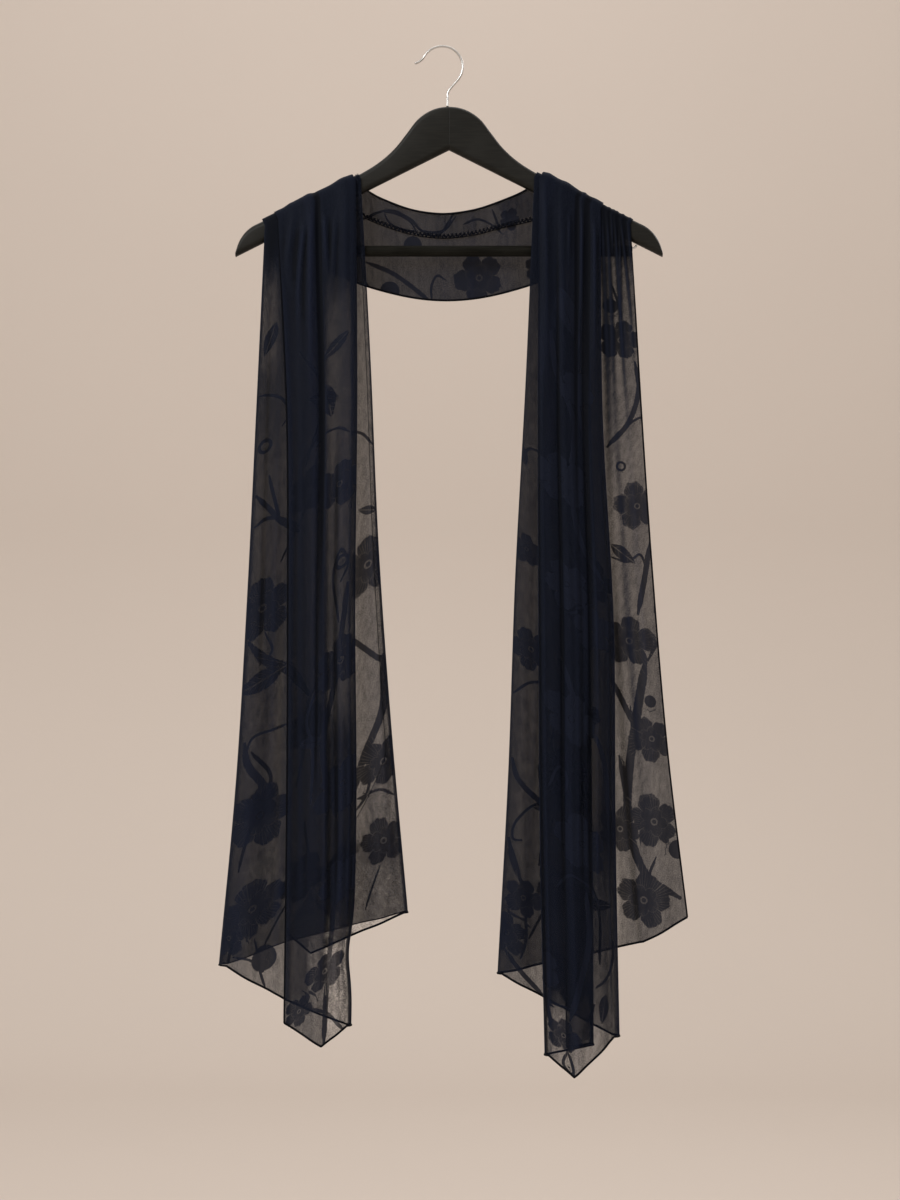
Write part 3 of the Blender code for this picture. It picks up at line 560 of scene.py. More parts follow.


# The woven pattern: blossoms, leaves and branches of our own, laid out on the stretches that show

# Motifs are kind (0 blossom, 1 leaf, 2 bud, 3 open ring), the stretch, its x and z as it hangs, radius,
# turn in degrees. Branches and twigs are width, the stretch, and the points that they run through.
# Clear places are kept free of the motifs that fill gaps: the stretch, its x and z, and radius.
leftPattern = {
    "clear": [
        ("wingFront", -184, -700, 26), ("wingFront", -170, -530, 24), ("wingFront", -180, -745, 22),
        ("back", -80, -335, 24),
        ("back", -80, -850, 26), ("wingFront", -190, -380, 26), ("wingFront", -200, -470, 26),
        ("back", -60, -900, 26),
        ("back", -80, -410, 28),
    ],
    "motifs": [
        (0, "wingFront", -187, -585, 35, 20), (0, "wingFront", -190, -800, 36, 75),
        (0, "wingFront", -197, -897, 31, 35),
        (0, "wingFront", -231, -928, 22, 10), (2, "wingFront", -186, -948, 19, 100),
        (1, "wingFront", -190, -662, 27, 12),
        (3, "wingFront", -184, -418, 8, 0), (1, "wingFront", -180, -306, 17, 70),
        (0, "back", -78, -541, 34, 10),
        (1, "back", -78, -484, 11, 200), (0, "back", -62, -744, 28, 40), (0, "back", -62, -829, 28, 5),
        (1, "frontPanel", -112, -314, 17, 150), (0, "frontPanel", -108, -456, 27, 32),
        (0, "frontPanel", -106, -640, 29, 25),
        (0, "frontPanel", -104, -768, 31, 48), (0, "frontPanel", -106, -868, 25, 66),
        (0, "frontPanel", -122, -962, 21, 15),
        (0, "frontPanel", -148, -1002, 17, 50), (3, "frontPanel", -104, -538, 8, 0),
        (1, "frontPanel", -118, -372, 20, 80),
    ],
    "branches": [
        (10.0, "wingFront", [(-204, -622), (-186, -640), (-160, -650), (-140, -672)]),
        (8.0, "wingFront", [(-214, -728), (-203, -746), (-188, -768), (-180, -792)]),
        (8.5, "back", [(-52, -636), (-62, -688), (-84, -742), (-98, -790)]),
        (5.0, "back", [(-100, -616), (-80, -628), (-56, -640)]),
        (5.0, "wingFront", [(-150, -506), (-168, -496), (-182, -482), (-197, -470)]),
        (6.0, "frontPanel", [(-98, -560), (-104, -604), (-112, -660), (-124, -730), (-112, -800)]),
        (5.5, "frontPanel", [(-112, -880), (-116, -930), (-122, -990), (-120, -1040)]),
    ],
    "twigs": [
        (4.0, "wingFront", [(-199, -503), (-184, -494), (-168, -494), (-150, -500)]),
        (3.6, "wingFront", [(-180, -450), (-175, -470), (-169, -494)]),
        (2.8, "wingFront", [(-196, -366), (-182, -364), (-166, -370), (-160, -386), (-166, -396)]),
        (3.0, "wingFront", [(-206, -744), (-198, -720), (-176, -712), (-160, -704)]),
        (2.6, "wingFront", [(-196, -930), (-190, -960), (-190, -990)]),
        (2.4, "wingFront", [(-216, -948), (-200, -950), (-186, -962)]),
        (2.8, "wingFront", [(-184, -612), (-178, -630), (-190, -645)]),
        (3.4, "back", [(-74, -756), (-80, -784), (-92, -800)]),
        (2.8, "back", [(-88, -786), (-66, -776), (-44, -780)]),
        (2.6, "back", [(-66, -856), (-74, -876), (-82, -900)]),
        (2.6, "back", [(-98, -402), (-84, -404), (-74, -414)]),
        (2.6, "frontPanel", [(-106, -558), (-98, -540), (-106, -524), (-112, -546), (-108, -600)]),
        (3.0, "frontPanel", [(-138, -1000), (-120, -1004), (-104, -1020)]),
        (2.6, "frontPanel", [(-98, -402), (-108, -398), (-120, -404), (-132, -420)]),
    ],
}
rightPattern = {
    "clear": [
        ("back", 196, -386, 28), ("back", 176, -560, 24), ("wingFront", 82, -340, 26),
        ("wingFront", 84, -470, 22),
        ("wingFront", 88, -570, 20), ("back", 232, -770, 22), ("wingFront", 76, -700, 22),
        ("wingFront", 80, -790, 22),
    ],
    "motifs": [
        (0, "back", 185, -306, 26, 80), (2, "back", 174, -272, 11, 90), (3, "back", 186, -437, 6, 0),
        (0, "back", 202, -478, 28, 60), (1, "back", 188, -530, 17, 20), (0, "back", 194, -620, 30, 15),
        (2, "back", 216, -684, 9, 40), (0, "back", 217, -722, 26, 50), (0, "back", 221, -809, 32, 65),
        (0, "back", 186, -818, 27, 30), (0, "back", 210, -892, 33, 92), (2, "back", 246, -838, 14, 0),
        (0, "wingFront", 88, -524, 17, 10), (0, "wingFront", 92, -628, 25, 40),
        (0, "wingFront", 84, -886, 23, 70),
        (0, "wingFront", 66, -924, 24, 20), (1, "wingFront", 82, -426, 11, 90),
        (0, "frontPanel", 122, -452, 30, 5),
        (0, "frontPanel", 132, -700, 30, 33), (0, "frontPanel", 128, -560, 26, 60),
        (0, "frontPanel", 144, -830, 30, 10),
        (0, "frontPanel", 124, -1026, 19, 30), (1, "frontPanel", 166, -1000, 17, 105),
        (1, "frontPanel", 128, -280, 26, 60),
        (0, "frontPanel", 156, -610, 24, 80),
    ],
    "branches": [
        (5.5, "back", [(200, -330), (204, -356), (194, -392), (172, -418)]),
        (6.5, "back", [(216, -516), (210, -556), (204, -592)]),
        (9.5, "back", [(212, -640), (204, -690), (196, -750), (194, -800), (200, -838), (214, -866),
                (246, -888)]),
        (6.5, "back", [(176, -660), (190, -688), (202, -712)]),
        (5.5, "back", [(184, -740), (190, -772), (196, -800)]),
        (6.5, "wingFront", [(68, -742), (78, -762), (96, -784), (116, -800)]),
        (8.0, "wingFront", [(68, -826), (74, -850), (82, -872)]),
        (5.5, "wingFront", [(62, -940), (80, -962), (104, -992)]),
        (6.0, "frontPanel", [(112, -300), (118, -340), (136, -396), (132, -460), (144, -520), (166, -560)]),
        (6.0, "frontPanel", [(122, -640), (140, -690), (164, -734), (172, -800)]),
        (5.5, "frontPanel", [(148, -880), (152, -920), (142, -970), (130, -1010)]),
    ],
    "twigs": [
        (2.8, "back", [(226, -390), (208, -388), (190, -396), (174, -412)]),
        (2.8, "back", [(176, -532), (192, -536), (206, -530), (212, -546)]),
        (3.2, "back", [(222, -846), (216, -866), (218, -880)]),
        (2.6, "back", [(176, -250), (182, -268), (186, -284)]),
        (2.6, "wingFront", [(96, -790), (84, -798), (74, -812), (74, -826), (82, -826)]),
        (3.2, "wingFront", [(86, -900), (86, -930), (80, -950)]),
        (2.6, "wingFront", [(76, -428), (90, -420), (104, -424)]),
        (2.8, "wingFront", [(72, -672), (88, -664), (104, -662)]),
        (2.8, "frontPanel", [(180, -930), (177, -950), (170, -968), (158, -976)]),
        (2.8, "frontPanel", [(106, -992), (118, -994), (132, -1000)]),
        (2.6, "frontPanel", [(104, -992), (108, -1006), (114, -1018)]),
        (3.2, "frontPanel", [(128, -1042), (124, -1056), (129, -1070)]),
        (3.4, "frontPanel", [(127, -1040), (133, -1056), (134, -1072)]),
        (2.6, "frontPanel", [(118, -872), (132, -862), (150, -872), (160, -890)]),
        (2.6, "frontPanel", [(108, -770), (120, -750), (128, -762), (124, -778)]),
    ],
}
neckPattern = {  # x and z as it hangs
    "motifs": [
        (0, 38, -238, 29, 62), (2, -56, -252, 14, 0), (0, 70, -177, 12, 40),
        (2, -32, -204, 13, 0), (0, -110, -210, 26, 20), (0, 130, -226, 25, 50), (0, 100, -228, 17, 30),
    ],
    "branches": [
        (4.6, [(-80, -222), (-52, -234), (-14, -262)]),
        (2.6, [(-92, -180), (-56, -168), (-34, -177), (-22, -189), (0, -189), (13, -175)]),
    ],
    "twigs": [
        (2.6, [(-12, -262), (-12, -246), (-6, -236), (2, -240)]),
        (2.4, [(-20, -192), (-6, -194), (6, -180), (12, -168)]),
        (2.6, [(52, -168), (56, -178), (60, -190)]),
        (2.2, [(22, -182), (36, -177), (50, -182), (62, -192)]),
        (2.4, [(-82, -240), (-78, -252), (-84, -262)]),
        (2.0, [(-64, -169), (-48, -172), (-34, -180), (-28, -190)]),
        (2.0, [(-62, -171), (-56, -181), (-44, -187), (-28, -190)]),
    ],
}
weaveShape = {"spacing": 86.0, "clearance": 60.0, "highest": 130.0, "radius": (20.0, 30.0), "step": 2.2}


def smoothLine(points):  # a smooth line through the points, sampled every step
    points = np.asarray(points, float)
    length = alongLength(points)
    at = np.linspace(0.0, length[-1], max(8, int(length[-1] / weaveShape["step"])))
    return np.stack([curveThrough(length, points[:, 0], at), curveThrough(length, points[:, 1], at)], axis=1)


def lineField(places, lines):
    # for each place: signed distance to the nearest line over half its width, the same without its sign,
    # and the length along the line; widths taper towards both ends
    samples, ways, halves, lengths = [], [], [], []
    for width, points in lines:
        path = smoothLine(points)
        length = alongLength(path)
        taper = 0.45 + 0.55 * smoothStep(np.minimum(length, length[-1] - length) / (2.5 * width))
        samples.append(path)
        ways.append(unit(np.gradient(path, axis=0)))
        halves.append(width / 2 * taper)
        lengths.append(length + 137.0 * len(lengths))
    samples, ways = np.concatenate(samples), np.concatenate(ways)
    halves, lengths = np.concatenate(halves), np.concatenate(lengths)
    field = np.empty((len(places), 3))
    for block in np.array_split(np.arange(len(places)), max(1, len(places) // 4000)):
        offset = places[block, None] - samples[None]
        ratio = np.hypot(offset[:, :, 0], offset[:, :, 1]) / halves
        nearest = np.argmin(ratio, axis=1)
        away = offset[np.arange(len(block)), nearest]
        way = ways[nearest]
        side = (way[:, 0] * away[:, 1] - way[:, 1] * away[:, 0]) / halves[nearest]
        field[block] = np.stack([side, ratio[np.arange(len(block)), nearest], lengths[nearest] * mm], axis=1)
    return np.clip(field, -9.0, 9.0)


def motifField(places, motifs):
    # for each place: its coordinates in the nearest motif, over the motif's radius, its reach, kind and seed
    table = np.array([(x, z, radius, math.radians(turn), kind) for kind, x, z, radius, turn in motifs])
    offset = places[:, None] - table[None, :, :2]
    reach = np.hypot(offset[:, :, 0], offset[:, :, 1]) / table[:, 2]
    nearest = np.argmin(reach, axis=1)
    away = offset[np.arange(len(places)), nearest] / table[nearest, 2:3]
    cos, sin = np.cos(table[nearest, 3]), np.sin(table[nearest, 3])
    place = np.stack([away[:, 0] * cos + away[:, 1] * sin, away[:, 1] * cos - away[:, 0] * sin], axis=1)
    nearReach = reach[np.arange(len(places)), nearest]
    seed = np.modf(nearest * 0.61803)[0]
    kinds = np.stack([table[nearest, 4], seed, 0 * seed], axis=1)
    return np.concatenate([place, nearReach[:, None]], axis=1), kinds


def wovenAttributes(across, down, motifs, branches, twigs, clear, seed):
    # listed motifs first, then more of them wherever a gap of the fabric is left
    rng = np.random.default_rng(seed)
    size = weaveShape["spacing"]
    columns, rows = int(across.max() / size) + 1, int(down.max() / size) + 1
    taken = np.array([(x, z, radius) for kind, x, z, radius, turn in motifs] + clear)
    for row in range(rows):
        for column in range(columns):
            spot = (np.array([column + 0.5 * (row % 2), row]) + rng.uniform(0.1, 0.6, 2)) * size
            radius = rng.uniform(*weaveShape["radius"])
            turn = rng.uniform(0, 360)
            kind = rng.choice([0, 0, 0, 1])
            away = np.hypot(*(taken[:, :2] - spot).T)
            roomy = (away - taken[:, 2]).min() > radius + 6 and away.min() > weaveShape["clearance"]
            if roomy and spot[1] > weaveShape["highest"]:
                motifs = motifs + [(kind, spot[0], spot[1], radius * (0.7 if kind else 1.0), turn)]
                taken = np.concatenate([taken, [[*spot, radius]]])
                lean = rng.uniform(-26, 26, 3)
                stem = [
                    (spot[0] + lean[0], spot[1] - 60),
                    (spot[0] + lean[1] / 2, spot[1] - 25),
                    tuple(spot),
                    (spot[0] + lean[2], spot[1] + 62),
                ]
                twigs = twigs + [(rng.uniform(2.6, 4.2), stem)]
    places = np.stack([across.ravel(), down.ravel()], axis=1)
    motifPlace, motifKind = motifField(places, motifs)
    fields = {"motifPlace": motifPlace, "motifKind": motifKind}
    fields["branchLine"] = lineField(places, branches)
    fields["twigLine"] = lineField(places, twigs)
    print("  motifs", len(motifs), "branches", len(branches), "twigs", len(twigs))
    return fields


def patternOn(form, drop, pattern, seed):
    # carries a pattern from where it shows to the cloth's flat coordinates
    def place(name, x, z):
        return flatPlace(form, drop["stretches"], name, x, z)

    motifs = [
        (kind, *place(name, x, z), radius, turn)
        for kind, name, x, z, radius, turn in pattern["motifs"]
    ]
    lines = {
        key: [(width, [place(name, x, z) for x, z in points]) for width, name, points in pattern[key]]
        for key in ("branches", "twigs")
    }
    clear = [(*place(name, x, z), radius) for name, x, z, radius in pattern["clear"]]
    across, down = form["across"], form["down"]
    return wovenAttributes(across, down, motifs, lines["branches"], lines["twigs"], clear, seed)


# The cloth's material

# The first two colours are the cloth's own, plain and woven; the third is a painted blue sheen for streaks,
# ridges and lit turns, and the fourth a painted shade for creases and pinched folds.
clothFinish = {
    "ground": (0.0045, 0.0063, 0.0126),
    "woven": (0.0062, 0.0082, 0.0160),
    "paintedSheen": (0.0084, 0.0114, 0.0255),
    "paintedCreaseShade": (0.0012, 0.0016, 0.0030),
    "grain": 0.60,
    "roughness": 0.62,
}


def splitVector(tree, name):  # the three numbers of one of the mesh's named attributes
    attribute = addNode(tree, "Attribute", attribute_name=name)
    parts = addNode(tree, "SeparateXYZ", {"Vector": attribute.outputs["Vector"]})
    return parts.outputs[0], parts.outputs[1], parts.outputs[2]


def blossomMask(tree, p, q, seed):
    # five rounded petals in polar coordinates, with a scalloped edge, thin gaps between them and a ring
    # at the centre
    r = calc(tree, "SQRT", calc(tree, "ADD", calc(tree, "MULTIPLY", p, p), calc(tree, "MULTIPLY", q, q)))
    turn = calc(tree, "MULTIPLY_ADD", calc(tree, "ARCTAN2", q, p), 5 / (2 * math.pi), 10.0)
    petal = calc(tree, "FLOOR", turn)
    f = calc(tree, "ABSOLUTE", calc(tree, "SUBTRACT", calc(tree, "SUBTRACT", turn, petal), 0.5))
    inputs = {0: calc(tree, "MODULO", petal, 5.0), 1: calc(tree, "MULTIPLY", seed, 31.0)}
    number = addNode(tree, "CombineXYZ", inputs).outputs[0]
    chance = addNode(tree, "TexWhiteNoise", {"Vector": number}, noise_dimensions="3D").outputs["Value"]
    length = calc(tree, "MULTIPLY_ADD", chance, 0.20, 0.82)
    rounded = calc(tree, "SUBTRACT", 1.0, calc(tree, "POWER", calc(tree, "MULTIPLY", f, 2.0), 2.5))
    scallop = calc(tree, "SINE", calc(tree, "MULTIPLY_ADD", f, 22.0, calc(tree, "MULTIPLY", chance, 6.0)))
    outline = calc(tree, "MULTIPLY", length, calc(tree, "MULTIPLY_ADD", rounded, 0.33, 0.67))
    outline = calc(tree, "MULTIPLY_ADD", scallop, 0.024, outline)
    shape = ramp(tree, calc(tree, "SUBTRACT", outline, r), -0.025, 0.025)
    gapWidth = calc(tree, "MULTIPLY", calc(tree, "SUBTRACT", 0.5, f), calc(tree, "MULTIPLY", r, 1.25))
    gap = calc(tree, "MULTIPLY", ramp(tree, gapWidth, 0.004, 0.024, 0.55, 0.0), ramp(tree, r, 0.30, 0.62))
    ring = calc(tree, "MULTIPLY", ramp(tree, r, 0.06, 0.09), ramp(tree, r, 0.11, 0.14, 0.60, 0.0))
    vein = calc(tree, "SINE", calc(tree, "MULTIPLY_ADD", f, 62.0, calc(tree, "MULTIPLY", r, 3.0)))
    veins = calc(tree, "MULTIPLY", ramp(tree, vein, 0.55, 1.0), ramp(tree, r, 0.22, 0.5, 0.0, 0.20))
    inner = calc(tree, "SUBTRACT", 0.5, f)
    innerRound = calc(tree, "SUBTRACT", 1.0, calc(tree, "POWER", calc(tree, "MULTIPLY", inner, 2.0), 2.5))
    innerEdge = calc(tree, "MULTIPLY", length, calc(tree, "MULTIPLY_ADD", innerRound, 0.20, 0.36))
    offLine = calc(tree, "ABSOLUTE", calc(tree, "SUBTRACT", innerEdge, r))
    innerLine = ramp(tree, offLine, 0.008, 0.030, 0.24, 0.0)
    light = calc(tree, "MAXIMUM", calc(tree, "MAXIMUM", gap, ring), calc(tree, "MAXIMUM", veins, innerLine))
    return shape, light


def leafMask(tree, p, q):  # a pointed leaf along p with a midrib and slanting veins
    across = calc(tree, "ABSOLUTE", q)
    pointed = calc(tree, "SUBTRACT", 1.0, calc(tree, "MULTIPLY", p, p))
    body = calc(tree, "MULTIPLY", pointed, calc(tree, "MULTIPLY_ADD", p, -0.12, 0.40))
    shape = ramp(tree, calc(tree, "SUBTRACT", body, across), -0.015, 0.03)
    rib = ramp(tree, across, 0.012, 0.040, 0.8, 0.0)
    slant = calc(tree, "SINE", calc(tree, "MULTIPLY", calc(tree, "SUBTRACT", p, across), 26.0))
    return shape, calc(tree, "MAXIMUM", rib, ramp(tree, slant, 0.7, 1.0, 0.0, 0.3))


def wovenMask(tree, edgeNoise):
    # how much of the darker weave there is at a place, 0 to 1, and how much of it is a light gap or vein
    p, q, reach = splitVector(tree, "motifPlace")
    kind, seed, unused = splitVector(tree, "motifKind")
    wobble = calc(tree, "MULTIPLY_ADD", edgeNoise, 0.10, 0.95)
    p, q = calc(tree, "MULTIPLY", p, wobble), calc(tree, "MULTIPLY", q, wobble)
    near = ramp(tree, reach, 1.12, 1.22, 1.0, 0.0)
    blossom, blossomLight = blossomMask(tree, p, q, seed)
    leaf, leafLight = leafMask(tree, p, q)
    r = calc(tree, "SQRT", calc(tree, "ADD", calc(tree, "MULTIPLY", p, p), calc(tree, "MULTIPLY", q, q)))
    bud = ramp(tree, r, 0.70, 0.76, 1.0, 0.0)
    ring = calc(tree, "MULTIPLY", ramp(tree, r, 0.92, 1.0, 1.0, 0.0), ramp(tree, r, 0.48, 0.56))

    def isKind(number):
        return calc(tree, "COMPARE", kind, float(number), 0.3)

    shapes = [(blossom, isKind(0)), (leaf, isKind(1)), (bud, isKind(2)), (ring, isKind(3))]
    woven = 0.0
    for shape, chosen in shapes:
        woven = calc(tree, "ADD", woven, calc(tree, "MULTIPLY", shape, chosen))
    woven = calc(tree, "MULTIPLY", woven, near)
    blossomLight = calc(tree, "MULTIPLY", blossomLight, isKind(0))
    light = calc(tree, "ADD", blossomLight, calc(tree, "MULTIPLY", leafLight, isKind(1)))
    light = calc(tree, "MULTIPLY", light, near)
    for name, limit in (("branchLine", 1.5), ("twigLine", 2.4)):
        side, apart, along = splitVector(tree, name)
        uneven = calc(tree, "MULTIPLY_ADD", edgeNoise, 0.5, 0.75)
        rough = calc(tree, "MULTIPLY", calc(tree, "ABSOLUTE", side), uneven)
        within = ramp(tree, apart, limit, limit + 0.25, 1.0, 0.0)
        line = calc(tree, "MULTIPLY", ramp(tree, rough, 0.90, 1.10, 1.0, 0.0), within)
        woven = calc(tree, "MAXIMUM", woven, line)
    return woven, light


def clothMaterial(name, groundCover, wovenCover):
    # the covers say how much of what is behind it one flat layer hides, of the ground and of the pattern
    material, tree, shader = newMaterial(name)
    uv = addNode(tree, "UVMap", uv_map="clothUv").outputs[0]
    edgeNoise = noise(tree, uv, 420.0, 2.0)
    woven, light = wovenMask(tree, edgeNoise)
    grain = noise(tree, uv, 900.0, 3.0, roughness=0.7)
    crepe = noise(tree, uv, 260.0, 4.0, stretch=(1.0, 0.35, 1.0))
    # long streaks: real streaks in the weave's cover and bump, and also where a blue sheen is painted
    streaksAndSheen = noise(tree, uv, 46.0, 4.0, stretch=(1.0, 0.04, 1.0))
    packed, looser, shadingRelief = splitVector(tree, "cloth")
    thin = calc(tree, "SUBTRACT", 1.0, calc(tree, "MULTIPLY", light, 0.75))
    dark = calc(tree, "MULTIPLY", woven, thin)
    dark = calc(tree, "MULTIPLY", dark, ramp(tree, looser, 0.30, 0.75, 1.0, 0.15))
    ground = calc(tree, "MULTIPLY", calc(tree, "SUBTRACT", 1.0, looser), groundCover)
    cover = blend(tree, dark, ground, wovenCover)
    uneven = ramp(tree, grain, 0.3, 0.7, 1.0 - clothFinish["grain"], 1.0 + clothFinish["grain"], smooth=False)
    uneven = calc(tree, "ADD", uneven, ramp(tree, crepe, 0.35, 0.65, -0.18, 0.18, smooth=False))
    uneven = calc(tree, "ADD", uneven, ramp(tree, streaksAndSheen, 0.35, 0.70, 0.13, -0.18, smooth=False))
    openShare = calc(tree, "MULTIPLY", calc(tree, "SUBTRACT", 1.0, cover), uneven)
    openShare = calc(tree, "MINIMUM", calc(tree, "MAXIMUM", openShare, 0.0005), 0.98)
    cover = calc(tree, "SUBTRACT", 1.0, calc(tree, "POWER", openShare, packed), clamp=True)
    colour = tint(tree, dark, clothFinish["ground"], clothFinish["woven"])
    # painted sheen: the blue sheen colour is painted along the lighter streaks and on ridges and lit turns
    colour = tint(tree, ramp(tree, streaksAndSheen, 0.50, 0.78, 0.0, 0.40), colour, clothFinish["paintedSheen"])
    colour = tint(tree, ramp(tree, shadingRelief, 0.10, 1.30, 0.0, 0.55), colour, clothFinish["paintedSheen"])
    # painted shade: creases and places that hold more cloth are darkened towards a near-black navy
    colour = tint(tree, ramp(tree, shadingRelief, -0.90, -0.10, 0.80, 0.0), colour, clothFinish["paintedCreaseShade"])
    tree.links.new(colour, shader.inputs["Base Color"])
    tree.links.new(cover, shader.inputs["Alpha"])
    middle = clothFinish["roughness"]
    tree.links.new(ramp(tree, grain, 0.2, 0.8, middle - 0.08, middle + 0.08), shader.inputs["Roughness"])
    shader.inputs["Sheen Weight"].default_value = 0.03
    shader.inputs["Sheen Roughness"].default_value = 0.45
    shader.inputs["Sheen Tint"].default_value = (0.20, 0.32, 0.75, 1.0)
    shader.inputs["Specular IOR Level"].default_value = 0.05
    height = calc(tree, "ADD", calc(tree, "MULTIPLY", grain, 0.35), calc(tree, "MULTIPLY", streaksAndSheen, 1.6))
    height = calc(tree, "ADD", height, calc(tree, "MULTIPLY", dark, 0.5))
    bumpNode = addNode(tree, "Bump", {"Height": height, "Strength": 0.5, "Distance": 0.0006})
    tree.links.new(bumpNode.outputs[0], shader.inputs["Normal"])
    return material


def threadMaterial(name, dark, light):  # cloth or thread wound tight, with slanting turns that differ in tone
    material, tree, shader = newMaterial(name)
    uv = addNode(tree, "UVMap", uv_map="clothUv").outputs[0]
    inputs = {"Vector": uv, "Scale": 190.0, "Distortion": 0.6, "Detail": 1.0}
    turns = addNode(tree, "TexWave", inputs, bands_direction="DIAGONAL")
    colour = tint(tree, turns.outputs["Fac"], dark, light)
    tree.links.new(colour, shader.inputs["Base Color"])
    tree.links.new(ramp(tree, turns.outputs["Fac"], 0.0, 1.0, 0.60, 0.76), shader.inputs["Roughness"])
    shader.inputs["Specular IOR Level"].default_value = 0.06
    bumpNode = addNode(tree, "Bump", {"Height": turns.outputs["Fac"], "Strength": 0.4, "Distance": 0.0003})
    tree.links.new(bumpNode.outputs[0], shader.inputs["Normal"])
    return material


print("cloth material")
dropCloth = clothMaterial("sheerCloth", 0.803, 0.970)
neckCloth = clothMaterial("sheerNeckCloth", 0.945, 0.992)
turnedCloth = clothMaterial("sheerTurnedCloth", 0.10, 0.48)
hemThread = threadMaterial("rolledHem", (0.0014, 0.0017, 0.0028), (0.0032, 0.0038, 0.0066))
overlockThread = threadMaterial("overlockThread", (0.0010, 0.0014, 0.0032), (0.0042, 0.0056, 0.0125))


def makeDrop(drop, form, pattern, seed):
    # the cloth of one drop and the rolled hem along its lower and side edges, thinner at the folds that
    # its stretches name and over the arm
    uv = np.stack([form["across"], -form["down"]], axis=2) * mm
    attributes = patternOn(form, drop, pattern, seed)
    attributes["cloth"] = form["cloth"]
    piece = surfaceFrom(drop["name"], form["grid"], dropCloth, uv=uv, attributes=attributes)
    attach(piece, "root")
    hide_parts(drop["node"])
    paths = {"hem": form["grid"][-1], "first": form["grid"][:, 0], "last": form["grid"][:, -1]}
    trims = []
    for name, path in paths.items():
        if name == "hem":
            shares = np.array([stretch.get("hem", 1.0) for stretch in drop["stretches"]])
            thinned = np.interp(form["stretch"], np.arange(len(shares)), shares)
        else:
            thinned = 0.35 + 0.65 * smoothStep((path[0, 2] - path[:, 2]) / 110)
        label = drop["name"] + name.capitalize() + "Edge"
        trim = tubeAlong(label, path, drop["edges"][name] * thinned, 8, hemThread)
        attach(trim, "root")
        trims.append(trim)
    return piece, trims


print("drops")
leftPiece, leftTrims = makeDrop(leftDrop, leftForm, leftPattern, 5)
rightPiece, rightTrims = makeDrop(rightDrop, rightForm, rightPattern, 8)


# The neck stretch and its turned edge

neckShape = {
    "upperMiddle": (0.0, -172.1),
    "lowerMiddle": (4.0, -261.7),
    "upperShape": 1.8,
    "lowerShape": 1.85,
    "upperBelly": 7.0,
    "lowerBelly": 13.0,
    "gap": 0.3,
    "turnedWidth": 0.28,
    "turnedWider": 0.42,
    "turnedFrom": 0.035,
    "turnedAway": 1.3,
    "folds": [
        ((0.10, 0.26), 0.05, 3.0),
        ((0.30, 0.42), 0.07, 2.0),
        ((0.70, 0.60), 0.07, 2.0),
        ((0.92, 0.74), 0.05, 3.5),
    ],
}


def between(pair, share):  # the value at a share of the way from the first to the second
    return pair[0] + (pair[1] - pair[0]) * share


def neckForm(along, across):
    # along runs from one arm to the other and across from the upper edge to the lower; the band sags
    # between its ends by 1 - |2 along - 1| to a power, and bellies backwards
    along, across = np.broadcast_arrays(along, across)
    leftX = between((leftDrop["turns"][3]["x"][0], leftDrop["turns"][2]["x"][0]), across)
    rightX = between((rightDrop["turns"][4]["x"][0], rightDrop["turns"][5]["x"][0]), across)
    fromMiddle = 2 * along - 1
    middleX = between((neckShape["upperMiddle"][0], neckShape["lowerMiddle"][0]), across)
    middleZ = between((neckShape["upperMiddle"][1], neckShape["lowerMiddle"][1]), across)
    x = leftX + (rightX - leftX) * along + (middleX - (leftX + rightX) / 2) * (1 - fromMiddle ** 2)
    endZ = np.where(fromMiddle < 0, armAxis(leftX, -1), armAxis(rightX, 1))
    endZ = endZ - clothShape["seamBelowArm"] - neckShape["gap"]
    power = between((neckShape["upperShape"], neckShape["lowerShape"]), across)
    z = endZ + (middleZ - endZ) * (1 - np.abs(fromMiddle) ** power)
    belly = between((neckShape["upperBelly"], neckShape["lowerBelly"]), across)
    y = hangerShape["topRadius"] + clothShape["firstLayer"] + belly * (1 - fromMiddle ** 4)
    for places, half, height in neckShape["folds"]:
        y = y + height * bump((along - between(places, across)) / half) * (1 - fromMiddle ** 8)
    return np.stack([x, y, z], axis=2)


def neckAttributes(grid, seed):  # the neck's pattern at x + 200 and -z, so that both run up from 0
    motifs = [(kind, x + 200, -z, radius, turn) for kind, x, z, radius, turn in neckPattern["motifs"]]
    branches, twigs = (
        [(width, [(x + 200, -z) for x, z in points]) for width, points in neckPattern[key]]
        for key in ("branches", "twigs")
    )
    return wovenAttributes(grid[:, :, 0] + 200, -grid[:, :, 2], motifs, branches, twigs, [], seed)


print("neck")
neckAlong = np.linspace(0.0, 1.0, 340)
neckGrid = neckForm(neckAlong, np.linspace(0.0, 1.0, 90)[:, None])
neckUv = np.stack([neckGrid[:, :, 0], neckGrid[:, :, 2]], axis=2) * mm
neckFields = neckAttributes(neckGrid, 3)
neckFields["cloth"] = np.ones(neckGrid.shape) * np.array([1.0, 0.0, 0.0])
neckPiece = surfaceFrom("neckStretch", neckGrid, neckCloth, uv=neckUv, attributes=neckFields)

